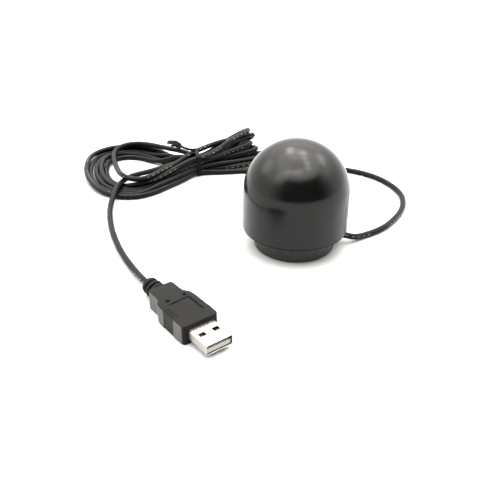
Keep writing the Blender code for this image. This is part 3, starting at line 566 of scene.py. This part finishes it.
def cable_vinyl():
    """Satin vinyl over twisted wires: a faint lay, dull patches, and groups of plain printed dashes."""
    dashes_per_mm, groups_per_mm = 0.29, 0.031
    twist_per_mm, two_strands = 0.36, 12.566
    windings_per_mm, first_place = 0.000785, 0.556
    made = Finish("cable_vinyl", 0.34, Specular_IOR_Level=0.1)
    run, turn = made.number("run"), made.number("turn")
    clouds = made.noise(120.0, 3.0)
    toned = made.ranged(clouds, 0.3, 0.7)
    base = made.mixed(toned, shade(CABLE_COLOUR, 0.86), shade(CABLE_COLOUR, 1.14))
    twisted = made.maths("ADD", made.product(run, twist_per_mm), made.product(turn, two_strands))
    lay = made.maths("SINE", twisted)
    dash = made.ranged(made.maths("FRACT", made.product(run, dashes_per_mm)), 0.50, 0.54, 1.0, 0.0)
    group = made.ranged(made.maths("FRACT", made.product(run, groups_per_mm)), 0.60, 0.61, 1.0, 0.0)
    # The printed line winds slowly round the cable, so it comes into view on strand after strand.
    winding = made.maths("ADD", made.product(run, windings_per_mm), first_place)
    place = made.maths("FRACT", made.maths("ADD", turn, winding))
    off_line = made.maths("ABSOLUTE", made.maths("SUBTRACT", place, 0.5))
    on_line = made.ranged(off_line, 0.02, 0.035, 1.0, 0.0)
    worn = made.ranged(made.noise(1500.0, 2.0), 0.36, 0.5)
    ink = made.product(made.product(dash, group), made.product(on_line, worn))
    made.colour(made.mixed(made.product(ink, 0.7), base, (0.2, 0.2, 0.19)))
    made.rough(made.noise(300.0, 3.0), 0.3, 0.7, 0.29, 0.40)
    made.bump(lay, 0.000008)
    made.bump(made.noise(3000.0, 2.0), 0.000003)
    return made.material


# ---------------------------------------------------------------- dome, foot and pad

DOME_RADIUS = 25.0
DOME_CENTRE = 27.76
DOME_WALL = 2.0
SKIRT_BOTTOM = 9.65
LIP_RADIUS = 0.4
LIP_TOP = SKIRT_BOTTOM + 0.5

dome_profile = arc((0.0, DOME_CENTRE), DOME_RADIUS, 90, 0, 72)
dome_profile[0] = (0.0, DOME_CENTRE + DOME_RADIUS)
dome_profile += [(DOME_RADIUS, 22.0), (DOME_RADIUS, 16.0), (DOME_RADIUS, LIP_TOP)]
dome_profile += arc((DOME_RADIUS - LIP_RADIUS, SKIRT_BOTTOM + LIP_RADIUS), LIP_RADIUS, 0, -90, 7)
dome_profile += [(DOME_RADIUS - 1.7, SKIRT_BOTTOM), (DOME_RADIUS - DOME_WALL, SKIRT_BOTTOM + 0.3)]
dome_profile += arc((0.0, DOME_CENTRE), DOME_RADIUS - DOME_WALL, 0, 90, 30)[:-1]
dome_profile += [(0.0, DOME_CENTRE + DOME_RADIUS - DOME_WALL)]
dome = lathe("dome_shell", dome_profile, 192)
dome.data.materials.append(dome_plastic())
# A matte near-black finish on the skirt's rounded lower edge: painted shade for the dark line under the
# skirt.
dome.data.materials.append(moulded("skirt_edge_shade", (0.002, 0.002, 0.002), 0.8, Specular_IOR_Level=0.05))
for face in dome.data.polygons:
    face.material_index = int(face.center.z < LIP_TOP * MM)
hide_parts("dome_cover")
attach(dome, "root")

# The foot: its inner floor and magnet wall, its flange with the seal's groove, then its outer wall and
# underside.
foot_profile = [
    (0.0, 3.1), (9.9, 3.1), (9.9, 7.0), (11.0, 7.0), (11.0, 3.1), (17.6, 3.1), (17.6, 13.2),
    (22.6, 13.2), (22.6, 12.3), (21.3, 12.3), (21.3, 10.7), (22.6, 10.7), (22.6, 10.2), (19.85, 10.2),
]
foot_profile += [(19.45 + 0.4 * k / 8, 1.1 + 9.1 * k / 8) for k in (7, 6, 5, 4, 3, 2, 1)]
foot_profile += arc((18.9, 1.05), 0.55, 0, -90, 8) + [(17.6, 0.5), (17.6, 1.3), (0.0, 1.3)]
foot = lathe("foot_shell", foot_profile, 160)
foot_colour = (0.019, 0.0187, 0.0183)
foot.data.materials.append(
    moulded("base_plastic", foot_colour, 0.46, grain=1900.0, depth=0.000012, Specular_IOR_Level=0.36)
)
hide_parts("base_housing")
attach(foot, "root")

pad_profile = [(0.0, 1.2), (17.1, 1.2), (17.3, 1.0), (17.3, 0.2)]
pad_profile += arc((17.1, 0.2), 0.2, 0, -90, 5) + [(0.0, 0.0)]
pad = lathe("foot_pad", pad_profile, 128)
pad.data.materials.append(moulded("pad_rubber", (0.02, 0.02, 0.02), 0.72, grain=1400.0, depth=0.00002))
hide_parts("rubber_foot_pad")
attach(pad, "root")

cable.data.materials.append(cable_vinyl())

# ---------------------------------------------------------------- twist tie

BAND_HALF_WIDTH = 1.3
BAND_GAP = 0.42
KNOT = np.array((-55.4, 91.1, 13.6))
TWIST_END = np.array((-62.7, 95.5, 14.2))
STEM_ROUTE = [KNOT, (-57.9, 91.6, 13.9), (-60.4, 93.2, 14.1), TWIST_END]
UPPER_TAIL = [TWIST_END, (-64.4, 97.0, 14.8), (-66.4, 99.4, 15.0), (-71.3, 101.4, 14.8)]
TAIL_GAP = ((0.2, -0.3, -0.6), (0.6, -0.7, -0.9), (1.3, -1.2, -1.2), (2.6, -1.5, -1.7))
LOWER_TAIL = np.array(UPPER_TAIL) + TAIL_GAP


def tie_ring(gap):
    """Closed path of the tie round the strands, as a taut band would lie, and the outward direction at
    each point."""
    up = np.array((0, 0, 1.0))
    ahead = (cable_line - TIE) @ ALONG
    near_tie = np.linalg.norm(cable_line[:-1] - TIE, axis=1) < 20
    crossing = np.nonzero((ahead[:-1] * ahead[1:] < 0) & near_tie)[0]
    strands = np.stack([cable_line[crossing] @ ACROSS - TIE @ ACROSS, cable_line[crossing, 2]], 1)
    ring, outward = [], []
    for angle in np.linspace(0, 2 * math.pi, 720, endpoint=False):
        way = np.array((math.cos(angle), math.sin(angle)))
        ring.append(strands[(strands @ way).argmax()] + way * (CABLE / 2 + gap))
        outward.append(way)
    ring = np.array(ring + ring[:1])
    outward = np.array(outward + outward[:1])
    line = resample(np.hstack([ring, outward]), 0.5)[:-1]
    place = TIE + line[:, :1] * ACROSS + line[:, 1:2] * up
    way = line[:, 2:3] * ACROSS + line[:, 3:4] * up
    return place, way / np.linalg.norm(way, axis=1, keepdims=True)


def tie_section(half, wire=0.42, wing=0.16, count=24):
    """Section of a twist tie: two thin wings with a wire between them."""
    angle = np.linspace(0, 2 * math.pi, count, endpoint=False)
    across = half * np.sign(np.cos(angle)) * np.abs(np.cos(angle)) ** 0.6
    thick = wing + (wire - wing) * np.exp(-((across / 0.5) ** 2))
    return np.stack([thick * np.sign(np.sin(angle)) * np.abs(np.sin(angle)) ** 0.5, across], 1)


def tie_tail(route, turns, start, half, shift=0.0):
    """A stretch of tie that turns about its own line, from one angle on, or beside it by a shift."""
    line = smooth_line(route, 0.4)
    share = np.linspace(0, 1, len(line))
    angle = start + 2 * math.pi * turns * share
    section = tie_section(half)
    turned = [
        np.stack([section[:, 0] * math.cos(a) - section[:, 1] * math.sin(a) + shift * math.cos(a),
                  section[:, 0] * math.sin(a) + section[:, 1] * math.cos(a) + shift * math.sin(a)], 1)
        for a in angle
    ]
    return sweep(line, np.array(turned))[:2]


def joined(parts):
    """Several (points, faces) as one."""
    points, faces = [], []
    for some, of_some in parts:
        faces += [tuple(i + len(points) for i in face) for face in of_some]
        points += [tuple(p) for p in some]
    return np.array(points), faces


ring_line, ring_out = tie_ring(BAND_GAP)
band = sweep(ring_line, tie_section(BAND_HALF_WIDTH), closed=True, up=ring_out)[:2]
stem = [ring_line[np.linalg.norm(ring_line - KNOT, axis=1).argmin()], *STEM_ROUTE]
twist = [tie_tail(stem, 1.6, start, 0.62, 0.38) for start in (0.0, math.pi)]
flat = [tie_tail(UPPER_TAIL, 0.12, 0.4, 1.6), tie_tail(LOWER_TAIL, 0.1, 0.7, 1.5)]
twist_tie = mesh_object("tie_band", *joined([band, *twist, *flat]))
tie_colour = (0.0025, 0.0025, 0.0025)
twist_tie.data.materials.append(
    moulded("tie_vinyl", tie_colour, 0.42, grain=1800.0, depth=0.00001, Specular_IOR_Level=0.08)
)
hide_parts("twist_tie")
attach(twist_tie, "root")

# ---------------------------------------------------------------- plug

PLUG_TURN = math.radians(-52.64)
PLUG_AT = (-41.145, -75.244, 4.4)
PLUG_PLACE = Matrix.Translation(Vector(PLUG_AT) * MM) @ Matrix.Rotation(PLUG_TURN, 4, "Z")
GRIP_BACK = -30.3
GRIP_HALF_HEIGHT = 4.35
# Half the grip's width at places along it, from its back to its front.
GRIP_OUTLINE = (
    (GRIP_BACK, 4.3), (-29.9, 5.4), (-29.1, 5.85), (-24.0, 5.8), (-22.0, 6.0), (-20.7, 6.8),
    (-19.5, 7.7), (-17.8, 8.1), (-14.0, 8.35), (-9.0, 8.45), (-4.0, 8.35), (0.0, 8.15),
)
GRIP_CORNER = 1.5
GRIP_EDGE = 0.5
GROOVE_HALF_WIDTH = 0.38
RIDGE_SPACING = 1.3
PANEL_DEPTH, GROOVE_DEPTH, MARK_DEPTH, RIDGE_DEPTH, SCOOP_DEPTH = 0.18, 0.32, 0.9, 0.28, 0.35
PANEL_EDGE = ((-15.8, -4.9), (-16.4, 5.15), (-4.6, 5.28))
EJECTOR_MARKS = ((-18.5, -3.4), (-18.7, 4.6))


def step(value, low, high):
    """A smooth step from 0 to 1 as the value goes from low to high."""
    share = np.clip((value - low) / (high - low), 0, 1)
    return share * share * (3 - 2 * share)


def rounded_loop(half_width, half_height, radius, flat_count, side_count, corner_count):
    """A rounded rectangle with the same number of points whatever its sizes."""
    radius = min(radius, half_width - 0.05, half_height - 0.05)
    loop = []
    right, top = half_width - radius, half_height - radius
    corners = ((right, top, 0), (-right, top, 90), (-right, -top, 180), (right, -top, 270))
    for index, (x, y, start) in enumerate(corners):
        angles = np.radians(np.linspace(start, start + 90, corner_count))
        loop += [(x + radius * math.cos(a), y + radius * math.sin(a)) for a in angles]
        after = corners[(index + 1) % 4]
        count = flat_count if index % 2 == 0 else side_count
        begin = np.array(loop[-1])
        finish = np.array((after[0] + radius * math.cos(math.radians(after[2])),
                           after[1] + radius * math.sin(math.radians(after[2]))))
        loop += [tuple(begin + (finish - begin) * k / (count + 1)) for k in range(1, count + 1)]
    return np.array(loop)


def from_segment(x, y, start, end):
    """Distance of points from a straight segment, and how far along it they are, 0 to 1."""
    (ax, ay), (bx, by) = start, end
    dx, dy = bx - ax, by - ay
    share = np.clip(((x - ax) * dx + (y - ay) * dy) / (dx**2 + dy**2), 0, 1)
    return np.hypot(x - ax - share * dx, y - ay - share * dy), share


def rounding(x, start, radius):
    """How far an edge that ends at x = start has curved in, for a rounding of this radius."""
    share = np.clip((x - start + radius) / radius, 0, 1)
    return radius * (1 - np.sqrt(1 - share * share))


def grip_body():
    """The moulded grip, straight-sided, with a sunk panel, two ejector marks, finger ridges and scooped
    sides. It returns points, faces and, for each point, a mask of painted shade for its grooves, marks
    and ridges, and a mask of painted sheen for its plain side walls."""
    grid = np.arange(GRIP_BACK, 0.1, 0.2)
    width = np.interp(grid, *np.transpose(GRIP_OUTLINE))
    for _ in range(3):
        width[1:-1] = 0.25 * width[:-2] + 0.5 * width[1:-1] + 0.25 * width[2:]
    corner_stations = -GRIP_CORNER * (1 - np.sin(np.linspace(0, math.pi / 2, 16)))
    stations = np.concatenate([grid[grid < -GRIP_CORNER], corner_stations])
    half = np.interp(stations, grid, width) - rounding(stations, 0.0, GRIP_CORNER)
    eased = rounding(stations, 0.0, GRIP_EDGE), rounding(-stations, -GRIP_BACK, GRIP_EDGE)
    height = GRIP_HALF_HEIGHT - eased[0] - eased[1]
    rings = [rounded_loop(w, h, GRIP_EDGE, 80, 30, 7) for w, h in zip(half, height)]
    points = np.array([[(x, p[0], p[1]) for p in ring] for x, ring in zip(stations, rings)])
    x, y, z = points[..., 0], points[..., 1], points[..., 2]
    edge_y, edge_z = half[:, None] - np.abs(y), height[:, None] - np.abs(z)
    top = step(z, 3.6, 4.2) * step(x, -30.0, -29.0) * step(-x, 0.6, 1.2)
    cross, cross_share = from_segment(x, y, *PANEL_EDGE[:2])
    along, along_share = from_segment(x, y, *PANEL_EDGE[1:])
    groove = np.maximum(np.exp(-((cross / GROOVE_HALF_WIDTH) ** 4)) * step(cross_share, 0.0, 0.25),
                        np.exp(-((along / GROOVE_HALF_WIDTH) ** 4)) * step(1 - along_share, 0.0, 0.25))
    panel = step(x, -16.2, -15.9) * step(5.2 - y, 0.0, 0.3) * (1 - step(x + 0.9 * (5.2 - y), -9.0, 3.0))
    marks = sum(1 - step(np.hypot(x - mx, y - my), 0.6, 0.9) for mx, my in EJECTOR_MARKS)
    ridge_zone = step(x, -14.4, -14.0) * (1 - step(x, -7.4, -7.0)) * step(-y, 5.2, 5.7)
    ridges = ridge_zone * (0.5 - 0.5 * np.cos(2 * math.pi * (x + 14.2) / RIDGE_SPACING))
    depth = PANEL_DEPTH * panel + GROOVE_DEPTH * groove + MARK_DEPTH * marks + RIDGE_DEPTH * ridges
    points[..., 2] -= top * depth
    wall = step(-edge_y, -0.45, -0.1)
    scoop = step(x, -14.5, -13.9) * (1 - step(x, -7.3, -6.7))
    points[..., 1] -= np.sign(y) * wall * scoop * SCOOP_DEPTH
    # Painted shade: the grooves, ejector marks and ridge valleys on the top get an almost black colour.
    sunk = top * np.clip(1.4 * groove + 1.3 * marks + 0.5 * ridges, 0, 1)
    # Painted sheen: the plain side walls get a far paler colour, less of it in the scoops.
    plain = wall * step(edge_z, 0.15, 0.5) * (1 - 0.87 * scoop) * (1 - step(x, -GRIP_CORNER - 0.3, -0.6))
    count, around = points.shape[:2]
    faces = ring_faces(count, around)
    caps = [(points[row, 0, 0], 0.0, 0.0) for row in (0, -1)]
    for row, middle in ((0, count * around), (count - 1, count * around + 1)):
        faces += [(row * around + j, row * around + (j + 1) % around, middle) for j in range(around)]
    points = np.vstack([points.reshape(-1, 3), caps])
    return points, faces, np.append(sunk, (0, 0)), np.append(plain, (0, 0))


def grip_relief():
    """Three soft rings of strain relief behind the grip: each has its front, its back and its radius."""
    rings = ((-31.1, -33.0, 4.1), (-34.0, -35.9, 4.0), (-36.9, -39.3, 3.7))
    core = 2.4
    profile = [(0.0, -29.0), (2.5, -29.0), (2.5, -30.4)]
    for start, end, radius in rings:
        middle, half = 0.5 * (start + end), 0.5 * (start - end)
        for angle in np.radians(np.linspace(90, -90, 13)):
            lift = max(0.0, math.cos(angle)) ** 0.45
            profile.append((core + (radius - core) * lift, middle + half * math.sin(angle)))
    profile += [(2.2, -39.2), (1.55, -39.0), (1.55, -38.4), (0.0, -38.4)]
    angle = np.linspace(0, 2 * math.pi, 72, endpoint=False)
    points = [(x, radius * math.cos(a), radius * math.sin(a)) for radius, x in profile for a in angle]
    return np.array(points), ring_faces(len(profile), len(angle))


def grip_vinyl():
    """Moulded vinyl with a fine grain, a painted sheen on its plain sides and painted shade in its grooves.
    """
    made = Finish("grip_vinyl", 0.5, Specular_IOR_Level=0.05)
    clouds = made.ranged(made.noise(90.0, 4.0), 0.35, 0.65)
    grained = made.mixed(clouds, (0.0115, 0.0113, 0.0110), (0.0138, 0.0136, 0.0132))
    # Painted sheen on the plain sides.
    sided = made.mixed(made.number("plain"), grained, (0.105, 0.104, 0.101))
    # Painted shade in the grooves, the marks and the strain relief's valleys.
    made.colour(made.mixed(made.number("sunk"), sided, (0.001, 0.001, 0.001)))
    made.rough(made.noise(420.0, 2.0), 0.3, 0.7, 0.44, 0.56)
    made.bump(made.noise(2400.0, 2.0, 0.6), 0.000006)
    return made.material


grip_points, grip_faces, grip_shade, grip_sheen = grip_body()
relief_points, relief_faces = grip_relief()
# Painted shade: the valleys between the strain relief's rings get the grooves' near-black colour.
relief_valley_shade = step(-np.hypot(relief_points[:, 1], relief_points[:, 2]), -3.6, -3.2)
grip_whole = joined([(grip_points, grip_faces), (relief_points, relief_faces)])
grip = mesh_object("plug_grip", *grip_whole, smooth_angle=50)
relief_sheen = np.zeros_like(relief_valley_shade)
point_values(grip, sunk=np.append(grip_shade, relief_valley_shade), plain=np.append(grip_sheen, relief_sheen))
grip.matrix_world = PLUG_PLACE
grip.data.materials.append(grip_vinyl())
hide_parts("plug_overmould")
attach(grip, "root")


def cut(piece, boxes):
    """Takes box-shaped windows out of a piece, in its own millimetres."""
    points, faces = [], []
    sides = ((0, 1, 3, 2), (4, 6, 7, 5), (0, 4, 5, 1), (2, 3, 7, 6), (0, 2, 6, 4), (1, 5, 7, 3))
    for box in boxes:
        base = len(points)
        points += itertools.product(*zip(*box))
        faces += [tuple(base + i for i in face) for face in sides]
    cutter = mesh_object("cutter", points, faces)
    cutter.matrix_world = piece.matrix_world.copy()
    modifier = piece.modifiers.new("cut", "BOOLEAN")
    modifier.operation = "DIFFERENCE"
    modifier.object = cutter
    bpy.context.view_layer.update()
    mesh = bpy.data.meshes.new_from_object(piece.evaluated_get(bpy.context.evaluated_depsgraph_get()))
    mesh.shade_flat()
    piece.modifiers.clear()
    piece.data = mesh
    bpy.data.objects.remove(cutter)


def sleeve_mesh():
    """The folded steel shell: two rounded loops, one inside the other, with eased front edges."""
    # A place along the plug, and how far both faces of the sheet are eased there.
    stations = ((-4.9, 0.0), (11.95, 0.0), (12.08, 0.03), (12.15, 0.08), (12.17, 0.13))

    def rings_of(half_width, half_height, radius, way):
        rings = []
        for x, eased in stations:
            loop = rounded_loop(half_width - way * eased, half_height - way * eased, radius, 8, 4, 9)
            rings.append([(x, p[0], p[1]) for p in loop])
        return rings

    outer, inner = rings_of(6.0, 2.25, 0.75, 1), rings_of(5.7, 1.95, 0.45, -1)
    rings = np.array(outer + inner[::-1])
    return rings.reshape(-1, 3), ring_faces(*rings.shape[:2], closed=True)


def plated_steel():
    """Nickel-plated sheet: drawn lines along the plug and a faint cloudy tarnish."""
    made = Finish("plug_steel", 0.3, metallic=1.0)
    colour = (0.455, 0.445, 0.415)
    lines = made.noise(1.0, 3.0, 0.6, made.stretched((90.0, 2600.0, 2600.0)))
    clouds = made.noise(420.0, 3.0)
    toned = made.mixed(made.ranged(clouds, 0.3, 0.7), shade(colour, 0.93), colour)
    made.colour(made.mixed(made.ranged(lines, 0.4, 0.7, 0.0, 0.25), toned, shade(colour, 0.85)))
    made.rough(lines, 0.3, 0.7, 0.24, 0.36)
    made.bump(lines, 0.0000012)
    return made.material


sleeve = mesh_object("plug_sleeve", *sleeve_mesh(), smooth_angle=35)
sleeve.matrix_world = PLUG_PLACE
latch_windows = [
    ((4.3, y - 1.4, low), (6.5, y + 1.4, high))
    for low, high in ((1.0, 3.0), (-3.0, -2.02))
    for y in (-3.1, 3.1)
]
seam_slots = [((2.2, -0.5, 2.1), (2.5, 0.5, 3.0)), ((2.8, 0.2, 2.1), (3.1, 1.2, 3.0))]
cut(sleeve, latch_windows + seam_slots)
sleeve.data.materials.append(plated_steel())
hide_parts("plug_shell")
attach(sleeve, "root")

# ---------------------------------------------------------------- finishes of the pieces kept from CAD


def laminate():
    """Green solder mask over copper tracks, with tinned pads and small vias."""
    made = Finish("board_laminate", 0.32)
    mask = (0.012, 0.105, 0.04)
    fine = made.stretched((1.0, 1.0, 0.0))
    tracks = made.node("ShaderNodeTexBrick", offset=0.37, Scale=260.0)
    tracks.inputs["Mortar Size"].default_value = 0.035
    made.link(fine, tracks.inputs["Vector"])
    run = made.ranged(tracks.outputs["Fac"], 0.4, 0.6)
    vias = made.ranged(made.voronoi(330.0, vector=fine), 0.10, 0.13, 1.0, 0.0)
    mottled = made.mixed(made.noise(140.0, 3.0), shade(mask, 0.8), shade(mask, 1.2))
    copper = made.mixed(made.product(run, 0.65), mottled, (0.03, 0.2, 0.07))
    made.colour(made.mixed(vias, copper, (0.45, 0.42, 0.34)))
    made.rough(made.noise(500.0, 2.0), 0.3, 0.7, 0.28, 0.4)
    made.bump(made.maths("ADD", run, vias), 0.00002)
    return made.material


def ceramic(name, colour):
    """Fired ceramic: fine grains and a few darker specks."""
    made = Finish(name, 0.55)
    grains = made.voronoi(2400.0)
    specks = made.ranged(made.noise(1100.0, 1.0), 0.68, 0.74)
    toned = made.mixed(made.ranged(grains, 0.1, 0.6), shade(colour, 1.06), shade(colour, 0.88))
    made.colour(made.mixed(made.product(specks, 0.6), toned, shade(colour, 0.45)))
    made.rough(grains, 0.1, 0.6, 0.48, 0.66)
    made.bump(grains, 0.00001)
    return made.material


# One finish for each material slot of the CAD, under the same name.
finishes = (
    moulded("cable_jacket", CABLE_COLOUR, 0.34, Specular_IOR_Level=0.1),
    moulded("seal_rubber", (0.03, 0.012, 0.01), 0.6, grain=1500.0, depth=0.00001),
    moulded("tie_nylon", (0.75, 0.75, 0.72), 0.4, spread=0.04),
    laminate(),
    moulded("connector_nylon", (0.8, 0.78, 0.7), 0.42, spread=0.05),
    moulded("chip_epoxy", (0.025, 0.025, 0.027), 0.62, grain=3200.0, depth=0.000015),
    ceramic("capacitor_ceramic", (0.45, 0.33, 0.2)),
    ceramic("antenna_ceramic", (0.62, 0.57, 0.48)),
    moulded("adhesive_foam", (0.85, 0.85, 0.8), 0.85, spread=0.06, grain=900.0, depth=0.00005),
    # The insulator's grey is darkened for the tongue seen inside the shell: painted shade.
    moulded("plug_insulator", (0.36, 0.36, 0.345), 0.45, spread=0.05, Specular_IOR_Level=0.2),
    metal("nickel_steel", (0.8, 0.79, 0.76), 0.28),
    metal("tinned_steel", (0.66, 0.66, 0.64), 0.36, stretch=(700.0, 700.0, 700.0)),
    metal("zinc_steel", (0.55, 0.56, 0.58), 0.38, stretch=(500.0, 500.0, 1800.0)),
    ceramic("magnet_ferrite", (0.05, 0.048, 0.046)),
    metal("antenna_silver", (0.85, 0.84, 0.8), 0.42, stretch=(1500.0, 1500.0, 200.0), depth=0.000006),
    metal("brass", (0.78, 0.57, 0.25), 0.3, stretch=(300.0, 300.0, 3000.0)),
    metal("gold_plate", (0.34, 0.25, 0.11), 0.3),
    moulded("wire_red", (0.55, 0.02, 0.02), 0.38, spread=0.08),
    moulded("wire_white", (0.8, 0.8, 0.78), 0.38, spread=0.04),
    moulded("wire_green", (0.02, 0.28, 0.06), 0.38, spread=0.08),
    moulded("wire_black", (0.02, 0.02, 0.02), 0.38),
)


def plain_name(material):
    """A material's name without the number that Blender adds to a second one of the same name."""
    return material.name.split(".")[0]


by_name = {plain_name(finish): finish for finish in finishes}
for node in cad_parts.values():
    if node.hide_render:
        continue
    for place in node.material_slots:
        slot_name = plain_name(place.material)
        if slot_name not in by_name:
            raise ValueError(f"{node.name} has the unknown slot {slot_name}")
        place.material = by_name[slot_name]

# ---------------------------------------------------------------- stage and light

bpy.context.scene.view_settings.view_transform = "Standard"

FLOOR_REACH = 3000.0
floor_corners = [(x * FLOOR_REACH, y * FLOOR_REACH, 0) for x, y in ((-1, -1), (1, -1), (1, 1), (-1, 1))]
floor = mesh_object("floor", floor_corners, [(0, 1, 2, 3)])
paper = Finish("floor_paper", 0.9)
paper.colour(paper.mixed(paper.noise(6.0, 2.0), (0.46, 0.46, 0.46), (0.48, 0.48, 0.48)))
paper.bump(paper.noise(900.0, 2.0), 0.00001)
floor.data.materials.append(paper.material)

# Soft round patches of light in the sky: direction, half width in degrees, strength.
LAMPS = (
    ((-0.13, 0.60, 0.79), 8, 6.0),
    ((-0.16, 0.46, 0.88), 8, 6.0),
    ((0.17, 0.38, 0.91), 8, 6.0),
    ((0.22, 0.16, 0.96), 8, 5.0),
    ((0.28, -0.04, 0.96), 8, 6.0),
    ((0.32, -0.24, 0.92), 8, 5.0),
    ((-0.31, -0.37, 0.88), 8, 4.0),
    ((-0.11, -0.43, 0.90), 8, 4.0),
    ((0.06, -0.42, 0.91), 8, 4.0),
    ((0.57, 0.41, 0.71), 10, 3.5),
    ((0.65, 0.24, 0.72), 10, 3.5),
    ((-0.55, -0.42, 0.72), 17, 2.5),
    ((-0.76, 0.28, 0.59), 17, 1.8),
    ((0.00, 0.31, 0.95), 20, 2.5),
)
BACKDROP = 0.93
SKY_COLOUR = (1.0, 0.978, 0.95, 1.0)


def studio():
    """World light: a broad bright ceiling, a bright room behind the object, and a dark room in front of
    it. The camera itself sees a plain pale backdrop."""
    world = bpy.data.worlds.new("studio")
    bpy.context.scene.world = world
    world.use_nodes = True
    tree = world.node_tree
    nodes, links = tree.nodes, tree.links
    maths, ranged = functools.partial(maths_node, tree), functools.partial(range_node, tree)

    def lamp(direction, width, strength):
        dot = nodes.new("ShaderNodeVectorMath")
        dot.operation = "DOT_PRODUCT"
        dot.inputs[1].default_value = Vector(direction).normalized()
        links.new(position, dot.inputs[0])
        return ranged(dot.outputs["Value"], math.cos(math.radians(width)), 1.0, 0.0, strength)

    position = nodes.new("ShaderNodeTexCoord").outputs["Generated"]
    split = nodes.new("ShaderNodeSeparateXYZ")
    links.new(position, split.inputs[0])
    x, y, z = split.outputs
    squares = maths("ADD", maths("MULTIPLY", x, x), maths("MULTIPLY", y, y))
    level = maths("MAXIMUM", maths("SQRT", squares), 0.001)
    # The room behind is turned a little to the left.
    backward = maths("SUBTRACT", y, maths("MULTIPLY", x, 0.18))
    behind = ranged(maths("DIVIDE", backward, level), -0.85, -0.15)

    def rise(start, end, by):
        """More light from one height in the sky to another, in degrees."""
        return ranged(z, math.sin(math.radians(start)), math.sin(math.radians(end)), 0.0, by)

    back = maths("ADD", maths("ADD", rise(18, 46, 2.2), rise(46, 62, 2.4)), 1.8)
    front = maths("ADD", rise(40, 58, 5.8), 0.05)
    light = maths("ADD", front, maths("MULTIPLY", behind, maths("SUBTRACT", back, front)))
    for direction, width, strength in LAMPS:
        light = maths("ADD", light, lamp(direction, width, strength))
    seen = nodes.new("ShaderNodeLightPath").outputs["Is Camera Ray"]
    backdrop = maths("MULTIPLY", seen, maths("SUBTRACT", BACKDROP, light))
    links.new(maths("ADD", light, backdrop), nodes["Background"].inputs["Strength"])
    nodes["Background"].inputs["Color"].default_value = SKY_COLOUR


studio()
